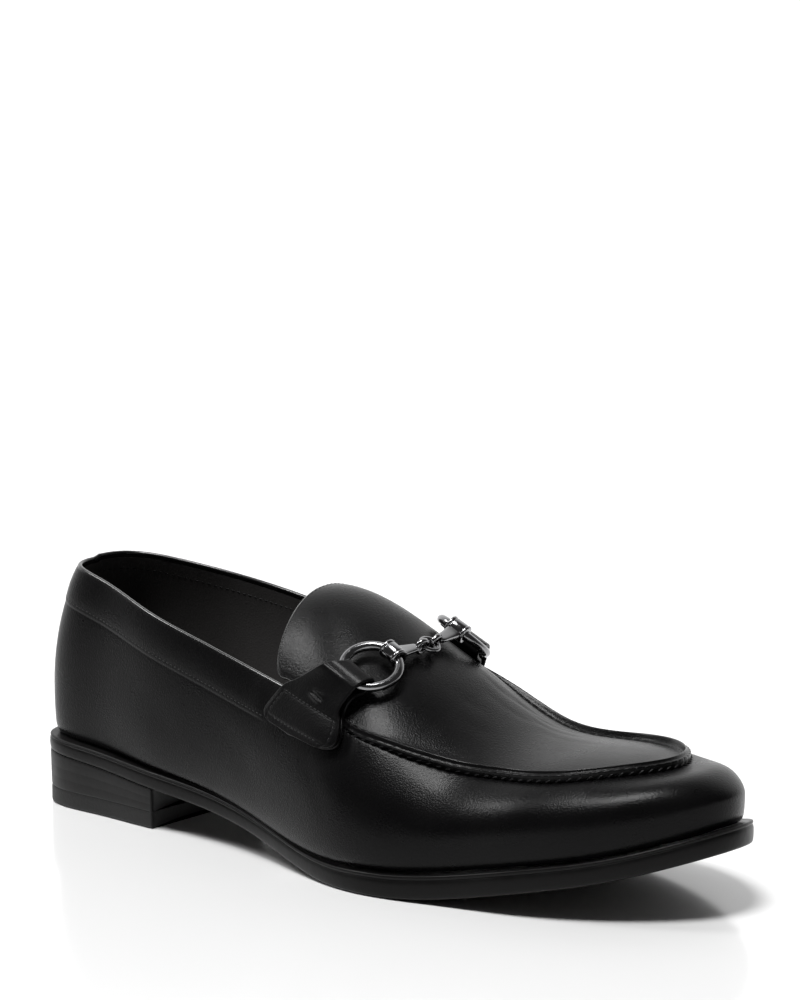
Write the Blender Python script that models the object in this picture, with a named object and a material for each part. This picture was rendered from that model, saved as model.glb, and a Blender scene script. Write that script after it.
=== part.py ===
"""Bit loafer, right shoe, standing on its heel and forefoot.

+X runs from heel to toe, +Y to the inner side and +Z up. The origin is on the floor, under
the middle of the shoe. All lengths are in metres.
"""
import math

import bmesh
import bpy
import numpy as np

# Driving sizes of the last and the sole
SHOE_LENGTH = 0.300
BALL_WIDTH = 0.104
HEEL_HEIGHT = 0.020
TOE_SPRING = 0.023
SOLE_EDGE = 0.0083
INSTEP_HEIGHT = 0.077
COUNTER_HEIGHT = 0.0636
CLEARANCE = 0.0003

# Heel: its length along the sole, its lift and how far the front face is hollowed
HEEL_LENGTH = 0.064
TOP_LIFT = 0.0062
BREAST_HOLLOW = 0.004
HEEL_INSET = 0.0008
HEEL_TAPER = 0.0008
EDGE_BEVEL = 0.0009

# Upper leather, its seams and its edges
HEEL_LEDGE = 0.002
TOE_LEDGE = 0.0045
LEATHER = 0.0020
SEAM_HEIGHT = 0.0030
SEAM_WIDTH = 0.0052
SEAM_START = 0.0155
COLLAR_DEPTH = 0.0145
COLLAR_STEP = 0.0004
TONGUE_DROP = 0.0105
SOCK = 0.0020
SOCK_GAP = 0.0006

# Tabs and the bit
TAB_LEATHER = 0.0013
TAB_GAP = 0.0004
TAB_END = 0.0116
RING_OUTER = 0.0230
RING_WIRE = 0.0034
BIT_REACH = 0.0270
BIT_LIFT = 0.0044
BIT_SAG = 0.0050
BIT_SIDE = 0.0055
LINK_LIFT = 0.0038
BARREL_LENGTH = 0.0075
BARREL_OUTER = 0.0070
BAR_THICK = 0.0020
EYE_OUTER = 0.0064
EYE_WIRE = 0.0016
LINK_OUTER = 0.0084
LINK_WIRE = 0.0017

# Round ends of the outlines, as shares of the width at the ball
HEEL_ROUND = 0.337
HEEL_POWER = 2.9
TOE_ROUND = 0.67
TOE_POWER = 2.0
APRON_ROUND = 0.44
APRON_POWER = 1.9
TONGUE_ROUND = 0.13
TONGUE_POWER = 3.2

# Where the sections of the last gather behind and in front, shares of the length
HEEL_CROWN = 0.127
TOE_CROWN = 0.873
HEEL_GATHER = 0.040
TOE_GATHER = 0.033


def table(names, rows):
    """Columns of a table by name."""
    return dict(zip(names.split(), np.array(rows, float).T))


# Sole, a row a section. along is a share of the length, outer, inner and ledge of the ball
# width, heel of the heel height, toe of the toe spring and edge of the sole's edge
SOLE = table("along outer inner heel toe edge ledge", (
    (0.0, 0.262, 0.296, 1.00, 0.00, 0.717, 0.038),
    (0.1, 0.252, 0.304, 0.90, 0.00, 0.735, 0.038),
    (0.2, 0.290, 0.317, 0.75, 0.00, 0.783, 0.027),
    (0.3, 0.317, 0.290, 0.60, 0.00, 0.795, 0.016),
    (0.4, 0.375, 0.271, 0.36, 0.00, 0.771, 0.009),
    (0.5, 0.480, 0.288, 0.085, 0.00, 0.843, 0.018),
    (0.6, 0.553, 0.363, 0.00, -0.01, 0.988, 0.034),
    (0.7, 0.520, 0.425, 0.00, 0.074, 1.036, 0.043),
    (0.8, 0.480, 0.462, 0.00, 0.322, 1.012, 0.041),
    (0.9, 0.442, 0.447, 0.00, 0.596, 0.976, 0.040),
    (1.0, 0.404, 0.404, 0.00, 1.00, 0.976, 0.044),
))
# Last, a row a section. ridge is the instep's ridge above the sole as a share of the instep
# height, and the rest are shares of the ball width: the ridge's place to the inner side, the
# swell of the two walls over the sole's edge, its height, and the fullness of the shoulders
LAST = table("along ridge side outer inner swell full_out full_in", (
    (0.0, 1.18, 0.00, 0.012, 0.012, 0.163, -0.03, -0.03),
    (0.1, 1.205, 0.00, 0.017, 0.019, 0.165, -0.02, -0.01),
    (0.2, 1.24, 0.00, 0.030, 0.034, 0.158, 0.01, 0.04),
    (0.3, 1.24, 0.00, 0.038, 0.047, 0.149, 0.00, 0.02),
    (0.4, 1.16, 0.005, 0.041, 0.056, 0.140, -0.03, 0.00),
    (0.5, 1.00, 0.010, 0.038, 0.046, 0.131, 0.00, 0.05),
    (0.6, 0.783, 0.014, 0.035, 0.030, 0.120, 0.01, 0.05),
    (0.7, 0.548, 0.019, 0.026, 0.021, 0.110, -0.01, 0.02),
    (0.8, 0.438, 0.019, 0.022, 0.016, 0.109, 0.02, 0.04),
    (0.9, 0.344, 0.010, 0.017, 0.010, 0.098, 0.04, 0.04),
    (1.0, 0.149, 0.005, 0.012, 0.012, 0.096, 0.05, 0.05),
))
# Top edge of the quarters, heights above the sole as shares of the counter height. The last
# knot is left to the seam of the apron
TOPLINE = table("along outer inner", (
    (0.00, 1.015, 1.015),
    (0.10, 0.965, 1.000),
    (0.20, 0.895, 0.963),
    (0.30, 0.835, 0.948),
    (0.40, 0.810, 0.959),
    (0.46, 0.815, 0.975),
))
# Apron's outline seen from above, shares of the ball width
APRON = table("along outer inner", (
    (0.51, 0.392, 0.243),
    (0.56, 0.444, 0.262),
    (0.62, 0.427, 0.277),
    (0.68, 0.367, 0.283),
    (0.75, 0.329, 0.300),
    (0.83, 0.338, 0.330),
    (0.90, 0.310, 0.315),
    (1.00, 0.300, 0.305),
))
# Tab below its ring, a row a level, all shares of the ring's width: how far the back and the
# front edges stand ahead of the ring and how far down the flank they are
TAB = table("back back_down front front_down", (
    (-0.93, 0.72, -0.02, 0.80),
    (-1.20, 0.90, 0.03, 0.95),
    (-1.38, 1.14, 0.10, 1.14),
    (-1.53, 1.38, 0.06, 1.33),
    (-1.57, 1.53, -0.10, 1.47),
))
THROAT = 0.513
APRON_TIP = 0.917
TONGUE_TIP = 0.402
BIT_ALONG = 0.565


def curve(tab, column, size):
    """Smooth line through a column of a table, giving its value or its slope at x."""
    x = (tab["along"] - 0.5) * SHOE_LENGTH
    y = tab[column] * size
    n = len(x)
    h = np.diff(x)
    grid = np.eye(n)
    turn = np.zeros(n)
    for i in range(1, n - 1):
        grid[i, i - 1:i + 2] = (h[i - 1], 2 * (h[i - 1] + h[i]), h[i])
        turn[i] = 6 * ((y[i + 1] - y[i]) / h[i] - (y[i] - y[i - 1]) / h[i - 1])
    bend = np.linalg.solve(grid, turn)

    def at(px, slope=False):
        near = np.clip(px, x[0], x[-1])
        i = np.clip(np.searchsorted(x, near) - 1, 0, n - 2)
        b = (near - x[i]) / h[i]
        a = 1 - b
        value = a * y[i] + b * y[i + 1]
        value = value + ((a**3 - a) * bend[i] + (b**3 - b) * bend[i + 1]) * h[i]**2 / 6
        tilt = (y[i + 1] - y[i]) / h[i]
        tilt = tilt + ((3 * b * b - 1) * bend[i + 1] - (3 * a * a - 1) * bend[i]) * h[i] / 6
        if slope:
            return tilt
        return value + tilt * (px - near)
    return at


def closing(depth, reach, power):
    """Share of the full width at a depth in from a rounded end."""
    share = np.clip(1 - depth / reach, 0, 1)
    return np.clip(1 - share**power, 0, 1)**(1 / power)


OUTER = -1
INNER = 1
HALF = SHOE_LENGTH / 2
WIDTH = {OUTER: curve(SOLE, "outer", BALL_WIDTH), INNER: curve(SOLE, "inner", BALL_WIDTH)}
SWELL = {OUTER: curve(LAST, "outer", BALL_WIDTH), INNER: curve(LAST, "inner", BALL_WIDTH)}
FULL = {OUTER: curve(LAST, "full_out", 1), INNER: curve(LAST, "full_in", 1)}
RIM = {OUTER: curve(APRON, "outer", BALL_WIDTH), INNER: curve(APRON, "inner", BALL_WIDTH)}
HEEL_PITCH = curve(SOLE, "heel", HEEL_HEIGHT)
TOE_PITCH = curve(SOLE, "toe", TOE_SPRING)
EDGE = curve(SOLE, "edge", SOLE_EDGE)
LEDGE = curve(SOLE, "ledge", BALL_WIDTH)
RIDGE = curve(LAST, "ridge", INSTEP_HEIGHT)
RIDGE_SIDE = curve(LAST, "side", BALL_WIDTH)
SWELL_RISE = curve(LAST, "swell", BALL_WIDTH)
THROAT_X = (THROAT - 0.5) * SHOE_LENGTH
APRON_END = (APRON_TIP - 0.5) * SHOE_LENGTH
TONGUE_END = (TONGUE_TIP - 0.5) * SHOE_LENGTH
HEEL_REACH = HEEL_ROUND * BALL_WIDTH
TOE_REACH = TOE_ROUND * BALL_WIDTH


def under(x):
    """Underside of the sole, flat on the floor under the ball."""
    return np.maximum(HEEL_PITCH(x) + TOE_PITCH(x), 0.0)


def deck(x):
    """Top face of the sole."""
    return under(x) + EDGE(x)


def outline(side, x, back, front, inset):
    """Half width of an outline that stops short of the heel's and the toe's ends."""
    width = WIDTH[side](x) - inset
    width = width * closing(x + HALF - back, HEEL_REACH - back, HEEL_POWER)
    return width * closing(HALF - front - x, TOE_REACH - front, TOE_POWER)


def off_centre():
    """How far the sole's middle stands to the outer side of the last's own line."""
    x = np.linspace(-HALF, HALF, 1201)
    wide = [outline(side, x, 0.0, 0.0, 0.0).max() for side in (OUTER, INNER)]
    return (wide[0] - wide[1]) / 2


SIDEWAYS = off_centre()


def slide(x):
    """Where the section from x on the sole meets the ridge, gathered at heel and toe."""
    near = (HEEL_CROWN - 0.5) * SHOE_LENGTH
    far = (TOE_CROWN - 0.5) * SHOE_LENGTH
    soft = HEEL_GATHER * SHOE_LENGTH
    x = near + soft * np.logaddexp(0, (x - near) / soft)
    soft = TOE_GATHER * SHOE_LENGTH
    return far - soft * np.logaddexp(0, (far - x) / soft)


def shell(side, x, turn):
    """Last's surface in the section from x: turn is -1 on the sole and 1 on the ridge.

    A quarter ellipse swells out over the sole's edge up to turn 0, and a fuller quarter
    ellipse closes over the shoulder up to the ridge.
    """
    turn = np.asarray(turn, float)
    foot = np.array([x, side * outline(side, x, HEEL_LEDGE, TOE_LEDGE, LEDGE(x))])
    foot_z = deck(x) + CLEARANCE
    spine = slide(x)
    apex = np.array([spine, RIDGE_SIDE(spine)])
    apex_z = deck(spine) + RIDGE(spine)
    fall = RIDGE(spine, True) + (deck(spine + 1e-4) - deck(spine - 1e-4)) / 2e-4
    reach = np.linalg.norm(apex - foot)
    way = (apex - foot) / reach
    low = (1 + np.minimum(turn, 0)) * math.pi / 2
    high = np.maximum(turn, 0) * math.pi / 2
    puff = FULL[side](x) * np.sin(2 * high)**2
    bulge = SWELL[side](x)
    out = (reach + bulge) * (1 - np.cos(high) - puff) - bulge * np.sin(low)
    px = foot[0] + way[0] * out
    py = foot[1] + way[1] * out
    waist = foot_z + SWELL_RISE(x)
    top = apex_z + fall * (px - spine) - waist
    pz = foot_z + SWELL_RISE(x) * (1 - np.cos(low)) + top * (np.sin(high) + puff)
    return np.stack([px, py, pz], -1)


def turn_where(side, x, test):
    """Turn in a section at which the test of its point passes from below to above zero."""
    low = -0.99
    high = 1.0
    for _ in range(40):
        middle = (low + high) / 2
        if test(shell(side, x, middle)) > 0:
            high = middle
        else:
            low = middle
    return high


def spread(points, places):
    """Points at the given distances along a line of points."""
    steps = np.linalg.norm(np.diff(points, axis=0), axis=1)
    arc = np.concatenate([[0.0], np.cumsum(steps)])
    return np.stack([np.interp(places, arc, points[:, i]) for i in range(3)], -1)


def length(points):
    """Length of a line of points."""
    return float(np.linalg.norm(np.diff(points, axis=0), axis=1).sum())


def rim_half(side, x):
    """Half width of the apron seen from above."""
    return RIM[side](x) * closing(APRON_END - x, APRON_ROUND * BALL_WIDTH, APRON_POWER)


def inside_apron(side):
    """Test that is above zero where a point lies within the apron's outline."""
    def test(p):
        if p[0] >= APRON_END:
            return -1.0
        return rim_half(side, p[0]) - side * p[1]
    return test


def over_topline(side):
    """Test that is above zero where a point lies above the top edge of the quarters."""
    turn = turn_where(side, THROAT_X, inside_apron(side))
    knot = shell(side, THROAT_X, turn)
    column = "outer" if side == OUTER else "inner"
    share = (knot[2] - deck(THROAT_X)) / COUNTER_HEIGHT
    line = {"along": np.append(TOPLINE["along"], THROAT),
            column: np.append(TOPLINE[column], share)}
    height = curve(line, column, COUNTER_HEIGHT)

    def test(p):
        return p[2] - deck(p[0]) - height(p[0])
    return test


def surface(side, x, girth):
    """Point and outward normal on the last, a girth's distance down from the ridge."""
    def place(px, way):
        line = shell(side, px, np.linspace(1, -0.9, 160))
        return spread(line, [way])[0]
    step = 0.0008
    along = place(x + step, girth) - place(x - step, girth)
    down = place(x, girth + step) - place(x, max(girth - step, 0.0))
    normal = np.cross(down, along) * -side
    return place(x, girth), normal / np.linalg.norm(normal)


def thicken(points, faces, relief, wall):
    """Solid leather from a sheet: relief stands it proud outside and wall is its depth."""
    points = np.array(points)
    normal = np.zeros_like(points)
    edges = set()
    for face in faces:
        face = [i for k, i in enumerate(face) if i != face[k - 1]]
        a, b, c = (points[face[k]] for k in (0, 1, 2))
        area = np.cross(b - a, c - a)
        if len(face) == 4:
            area = area + np.cross(c - a, points[face[3]] - a)
        for k, i in enumerate(face):
            normal[i] += area
            edges.add((face[k - 1], i))
    normal /= np.linalg.norm(normal, axis=1)[:, None]
    return points, normal, sorted(e for e in edges if (e[1], e[0]) not in edges)


def shell_mesh(points, faces, normal, rims, relief, wall):
    """Outer face, inner face and the rims between them."""
    n = len(points)
    outer = points + normal * np.asarray(relief)[:, None]
    inner = points - normal * wall
    solid = []
    for face in faces:
        face = [i for k, i in enumerate(face) if i != face[k - 1]]
        solid.append(tuple(face))
        solid.append(tuple(i + n for i in reversed(face)))
    for a, b in rims:
        solid.append((b, a, a + n, b + n))
    return np.concatenate([outer, inner]), solid


def make(name, points, faces, colour, rough, metal=0.0, smooth=True):
    """One closed object from points and faces, with its own material."""
    mesh = bpy.data.meshes.new(name)
    points = np.array(points) + (0.0, SIDEWAYS, 0.0)
    mesh.from_pydata([tuple(map(float, p)) for p in points], [], faces)
    work = bmesh.new()
    work.from_mesh(mesh)
    bmesh.ops.remove_doubles(work, verts=work.verts, dist=1e-6)
    bmesh.ops.dissolve_degenerate(work, edges=work.edges, dist=1e-6)
    bmesh.ops.triangulate(work, faces=work.faces)
    bmesh.ops.recalc_face_normals(work, faces=work.faces)
    work.to_mesh(mesh)
    work.free()
    mesh.update()
    thing = bpy.data.objects.new(name, mesh)
    bpy.context.scene.collection.objects.link(thing)
    dress(thing, colour, rough, metal, smooth)
    return thing


def dress(thing, colour, rough, metal, smooth):
    """Material of its own and smooth or flat faces."""
    look = bpy.data.materials.new(thing.name + "_finish")
    look.use_nodes = True
    shader = look.node_tree.nodes["Principled BSDF"]
    shader.inputs["Base Color"].default_value = (*colour, 1.0)
    shader.inputs["Roughness"].default_value = rough
    shader.inputs["Metallic"].default_value = metal
    thing.data.materials.clear()
    thing.data.materials.append(look)
    for face in thing.data.polygons:
        face.use_smooth = smooth


def stations(start, end, count):
    """Places between two ends of the shoe, closer together near both ends."""
    share = (1 - np.cos(np.pi * np.linspace(0, 1, count + 1))) / 2
    return start + (end - start) * share


def loop(x, half, z):
    """Closed outline: the outer side from heel to toe, then the inner side back."""
    outer = np.stack([x, -half(OUTER, x), z], -1)
    inner = np.stack([x, half(INNER, x), z], -1)
    return np.concatenate([outer, inner[-2:0:-1]])


def slab(loops):
    """Closed solid from outlines of equal count stacked from the bottom to the top."""
    n = len(loops[0])
    points = np.concatenate(loops)
    faces = []
    for level in range(len(loops) - 1):
        base = level * n
        for i in range(n):
            j = (i + 1) % n
            faces.append((base + i, base + j, base + n + j, base + n + i))
    half = n // 2
    for base, flip in ((0, True), ((len(loops) - 1) * n, False)):
        for i in range(half):
            left = base + (n - i) % n
            ahead = base + (n - i - 1) % n
            face = [base + i, base + i + 1, ahead, left]
            face = [v for k, v in enumerate(face) if v != face[k - 1]]
            faces.append(tuple(reversed(face)) if flip else tuple(face))
    return points, faces


def sole_loop(count, end, inset, z):
    """Outline of the sole, set in by an inset and lifted to a height line."""
    x = stations(-HALF + inset, end, count)

    def half(side, px):
        return outline(side, px, inset, inset, inset)
    return loop(x, half, z(x))


def heel_loop(inset, z, shares):
    """Outline of the heel at a level, with its front face hollowed."""
    breast = -HALF + HEEL_LENGTH
    whole = breast - BREAST_HOLLOW - 0.003 + HALF - inset
    back = -HALF + inset + whole * np.sin(np.linspace(0, np.pi / 2, 13))**2
    back = np.append(back, breast)
    outer = [(px, -outline(OUTER, px, inset, 0.0, inset)) for px in back]
    inner = [(px, outline(INNER, px, inset, 0.0, inset)) for px in back[:0:-1]]
    front = []
    left = outer[-1][1]
    right = inner[0][1]
    for t in shares:
        y = left + (right - left) * (t + 1) / 2
        front.append((breast - BREAST_HOLLOW * (1 - t * t), y))
    flat = np.array(outer + front + inner)
    return np.column_stack([flat, z(flat[:, 0])])


def heel_solid(levels):
    """Closed heel piece from its outlines at rising levels."""
    shares = np.linspace(-1, 1, 9)[1:-1]
    loops = [heel_loop(inset, z, shares) for inset, z in levels]
    n = len(loops[0])
    points = np.concatenate(loops)
    faces = []
    for level in range(len(loops) - 1):
        base = level * n
        for i in range(n):
            j = (i + 1) % n
            faces.append((base + i, base + j, base + n + j, base + n + i))
    top = (len(loops) - 1) * n
    side = 14
    pairs = [(i, n - i) for i in range(1, side - 1)]
    for base, flip in ((0, True), (top, False)):
        fan = [(base, base + pairs[0][0], base + pairs[0][1])]
        for (a, b), (c, d) in zip(pairs[:-1], pairs[1:]):
            fan.append((base + a, base + c, base + d, base + b))
        a, b = pairs[-1]
        last = [base + i for i in range(a, b + 1)]
        fan.append(tuple(last))
        for face in fan:
            faces.append(tuple(reversed(face)) if flip else face)
    return points, faces


def upper_sheet():
    """Points, faces and relief of the upper: quarters and vamp, then apron and tongue."""
    back = -HALF + HEEL_LEDGE
    front = HALF - TOE_LEDGE
    turn = math.acos(1 - 2 * (THROAT_X - back) / (front - back)) / math.pi
    share = np.concatenate([np.linspace(0, turn, 12), np.linspace(turn, 1, 21)[1:]])
    x = back + (front - back) * (1 - np.cos(np.pi * share)) / 2
    throat = 11
    points = []
    relief = []
    faces = []

    def add(p, proud=0.0):
        points.append(p)
        relief.append(proud)
        return len(points) - 1

    # Quarters and vamp, a column a section round the shoe
    columns = []
    borders = []
    order = [(OUTER, k) for k in range(len(x))] + [(INNER, k) for k in range(len(x) - 2, 0, -1)]
    tests = {side: (over_topline(side), inside_apron(side)) for side in (OUTER, INNER)}
    for side, k in order:
        test = tests[side][0] if k < throat else tests[side][1]
        edge = turn_where(side, x[k], test)
        line = shell(side, x[k], np.linspace(edge, -1, 90))
        whole = length(line)
        band = min(COLLAR_DEPTH, 0.5 * whole)
        step = COLLAR_STEP * 2 if k < throat else band * 0.25
        places = [0.0, band * 0.33, band * 0.62, band - step, band]
        places += list(band + (whole - band) * np.array([0.2, 0.4, 0.58, 0.74, 0.88, 1.0]))
        grid = spread(line, places)
        fade = np.clip((TONGUE_END + 0.004 - x[k]) / 0.012, 0, 1)
        proud = [COLLAR_STEP * fade] * 4 + [0.0] * 7
        columns.append([add(p, q) for p, q in zip(grid, proud)])
        borders.append((side, k, edge))
    count = len(columns)
    for c in range(count):
        left = columns[c]
        right = columns[(c + 1) % count]
        for r in range(len(left) - 1):
            faces.append((left[r + 1], right[r + 1], right[r], left[r]))
    feather = [column[-1] for column in columns]

    # Apron, a column from each point of the seam to the ridge
    bead = np.array([0.115, 0.31, 0.58, 0.85, 1.08]) * SEAM_WIDTH
    proud = np.array([0.87, 1.05, 1.0, 0.4, 0.12]) * SEAM_HEIGHT
    spine = {}
    last = None
    for k in range(throat, len(x)):
        p = shell(OUTER, x[k], 1.0)
        if last is None or np.linalg.norm(points[last] - p) > 0.0006:
            last = add(p)
        spine[k] = last
    inward = []
    for (side, k, edge), column in zip(borders, columns):
        if k < throat:
            continue
        line = shell(side, x[k], np.linspace(edge, 1, 90))
        whole = length(line)
        places = np.minimum(bead, 0.7 * whole * bead / bead[-1])
        rest = places[-1] + (whole - places[-1]) * np.array([0.2, 0.4, 0.6, 0.8])
        grid = spread(line, np.concatenate([places, rest]))
        fade = np.clip((x[k] - THROAT_X - SEAM_START) / 0.006, 0, 1)
        rows = [column[0]]
        rows += [add(p, q * fade) for p, q in zip(grid[:5], proud)]
        rows += [add(p) for p in grid[5:]]
        inward.append(rows + [spine[k]])

    # Tongue, from its free edge to its ridge, let down towards its end
    straight = THROAT_X - TONGUE_END - TONGUE_ROUND * BALL_WIDTH
    bends = np.radians([90, 66, 46, 30, 17, 7])
    depth = TONGUE_ROUND * BALL_WIDTH * (1 - np.cos(bends)**(2 / TONGUE_POWER))
    steps = np.concatenate([[TONGUE_END + TONGUE_ROUND * BALL_WIDTH + straight * 0.5],
                            TONGUE_END + depth, [TONGUE_END]])
    ridge_end = TONGUE_END + 0.010

    def tongue_half(side, px):
        root = rim_half(side, THROAT_X)
        width = root * (1 - 0.13 * np.clip((THROAT_X - px) / 0.022, 0, 1))
        return width * closing(px - TONGUE_END, TONGUE_ROUND * BALL_WIDTH, TONGUE_POWER)

    def lowered(px, py):
        ridge = float(RIDGE_SIDE(px))
        side = INNER if py > ridge else OUTER

        def beyond(p):
            return side * (py - p[1])
        turn = turn_where(side, px, beyond)
        p = shell(side, px, turn)
        t = (py - ridge) / (rim_half(side, THROAT_X) * 0.9)
        fall = ((THROAT_X - px) / (THROAT_X - TONGUE_END))**2
        p = np.array([px, py, p[2]])
        p[2] -= TONGUE_DROP * fall * max(1 - t * t, 0.0)
        return p

    ridge_marks = {}
    for j, px in enumerate(steps):
        share = (THROAT_X - px) / (THROAT_X - TONGUE_END)
        rx = THROAT_X + (ridge_end - THROAT_X) * share
        ridge_marks[j] = add(lowered(rx, float(RIDGE_SIDE(rx))))
    tongue = {}
    for side in (OUTER, INNER):
        rows_of = []
        for j, px in enumerate(steps):
            if side == INNER and j == len(steps) - 1:
                continue
            start = np.array([px, side * tongue_half(side, px)])
            if j == len(steps) - 1:
                start[1] = float(RIDGE_SIDE(px))
            goal = points[ridge_marks[j]][:2]
            whole = np.linalg.norm(goal - start)
            places = np.minimum(bead, 0.6 * whole * bead / bead[-1])
            rest = places[-1] + (whole - places[-1]) * np.array([0.2, 0.4, 0.6, 0.8])
            rows = []
            for way in np.concatenate([[0.0], places, rest]):
                flat = start + (goal - start) * way / whole
                rows.append(add(lowered(flat[0], flat[1])))
            rows_of.append(rows + [ridge_marks[j]])
        tongue[side] = rows_of
    inward += tongue[INNER]
    inward += tongue[OUTER][::-1]
    for c in range(len(inward)):
        left = inward[c]
        right = inward[(c + 1) % len(inward)]
        for r in range(len(left) - 1):
            face = [left[r], right[r], right[r + 1], left[r + 1]]
            face = [v for i, v in enumerate(face) if v != face[i - 1]]
            if len(face) > 2:
                faces.append(tuple(face))
    return np.array(points), faces, np.array(relief), feather


def build_upper():
    """Hollow upper in one piece, open on top and underneath."""
    points, faces, relief, feather = upper_sheet()
    points, normal, rims = thicken(points, faces, relief, LEATHER)
    flat = normal[feather].copy()
    foot = points[feather]
    before = np.roll(foot, 1, axis=0)
    after = np.roll(foot, -1, axis=0)
    run = after - before
    flat = np.stack([run[:, 1], -run[:, 0], np.zeros(len(run))], -1)
    normal[feather] = flat / np.linalg.norm(flat, axis=1)[:, None]
    solid = shell_mesh(points, faces, normal, rims, relief, LEATHER)
    return make("upper", *solid, (0.012, 0.012, 0.013), 0.38)


def build_sole():
    """Outsole, heel block, top lift and insole."""
    dark = (0.014, 0.013, 0.013)
    front = HALF
    levels = ((EDGE_BEVEL, 0.0), (0.0, 0.32), (0.0, 0.76), (EDGE_BEVEL * 0.8, 1.0))
    loops = []
    for inset, share in levels:
        def height(x, share=share):
            return under(x) + EDGE(x) * share
        loops.append(sole_loop(44, front - inset, inset, height))
    make("outsole", *slab(loops), dark, 0.5)

    def seat(x):
        return under(x) - CLEARANCE

    def base(x):
        return 0 * x + TOP_LIFT + CLEARANCE

    def middle(x):
        return 0 * x + (TOP_LIFT + HEEL_HEIGHT) * 0.45

    def lift_top(x):
        return 0 * x + TOP_LIFT

    def floor(x):
        return 0 * x
    block = heel_solid(((HEEL_INSET + HEEL_TAPER, base), (HEEL_INSET + HEEL_TAPER / 2, middle),
                        (HEEL_INSET, seat)))
    make("heel_block", *block, dark, 0.5)
    lift = heel_solid(((HEEL_INSET + HEEL_TAPER + 0.0006, floor),
                       (HEEL_INSET + HEEL_TAPER, lambda x: 0 * x + TOP_LIFT * 0.15),
                       (HEEL_INSET + HEEL_TAPER, lift_top)))
    make("top_lift", *lift, (0.016, 0.016, 0.016), 0.6)

    inset = LEATHER + SOCK_GAP
    x = stations(-HALF + HEEL_LEDGE + inset, HALF - TOE_LEDGE - inset, 36)

    def half(side, px):
        return outline(side, px, HEEL_LEDGE + inset, TOE_LEDGE + inset, LEDGE(px) + inset)
    low = loop(x, half, deck(x) + CLEARANCE)
    high = loop(x, half, deck(x) + CLEARANCE + SOCK)
    make("insole", *slab([low, high]), (0.030, 0.028, 0.027), 0.6)


def torus(centre, normal, major, minor, around, tube):
    """Closed ring of round wire."""
    n = normal / np.linalg.norm(normal)
    a = np.cross(n, (0.0, 0.0, 1.0) if abs(n[2]) < 0.9 else (1.0, 0.0, 0.0))
    a /= np.linalg.norm(a)
    b = np.cross(n, a)
    points = []
    for i in range(around):
        t = 2 * math.pi * i / around
        out = a * math.cos(t) + b * math.sin(t)
        for j in range(tube):
            s = 2 * math.pi * j / tube
            points.append(centre + out * (major + minor * math.cos(s)) + n * minor * math.sin(s))
    faces = []
    for i in range(around):
        for j in range(tube):
            k = (j + 1) % tube
            m = (i + 1) % around
            faces.append((i * tube + j, m * tube + j, m * tube + k, i * tube + k))
    return points, faces


def loft(sections):
    """Closed solid through loops of equal count."""
    n = len(sections[0])
    points = [p for section in sections for p in section]
    faces = [tuple(range(n))[::-1], tuple(range(len(points) - n, len(points)))]
    for level in range(len(sections) - 1):
        base = level * n
        for i in range(n):
            j = (i + 1) % n
            faces.append((base + i, base + j, base + n + j, base + n + i))
    return points, faces


def bit_places():
    """Centres, normals and directions of the link and the two rings."""
    middle = (BIT_ALONG - 0.5) * SHOE_LENGTH
    foot, up = surface(OUTER, middle, BIT_SIDE)
    link = foot + up * LINK_LIFT
    places = {"link": (link, up)}
    for side in (OUTER, INNER):
        low = 0.010
        high = 0.060
        for _ in range(30):
            girth = (low + high) / 2
            foot, normal = surface(side, middle - BIT_SAG, girth)
            centre = foot + normal * BIT_LIFT
            if np.linalg.norm(centre - link) < BIT_REACH:
                low = girth
            else:
                high = girth
        places[side] = (centre, normal, girth)
    return places


def ring_frame(side, places):
    """Ring's centre and its own directions: to the link, along the wire and up."""
    centre, normal, girth = places[side]
    way = places["link"][0] - centre
    to_link = way - normal * np.dot(way, normal)
    to_link /= np.linalg.norm(to_link)
    return centre, to_link, np.cross(normal, to_link), normal


def hide(thing):
    """Helper that only shapes another piece."""
    thing.hide_render = True
    thing.display_type = "WIRE"


def cut(thing, other, kind):
    """Join or cut a piece with a helper."""
    step = thing.modifiers.new(kind.lower(), "BOOLEAN")
    step.operation = kind
    step.solver = "EXACT"
    step.object = other
    hide(other)


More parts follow.
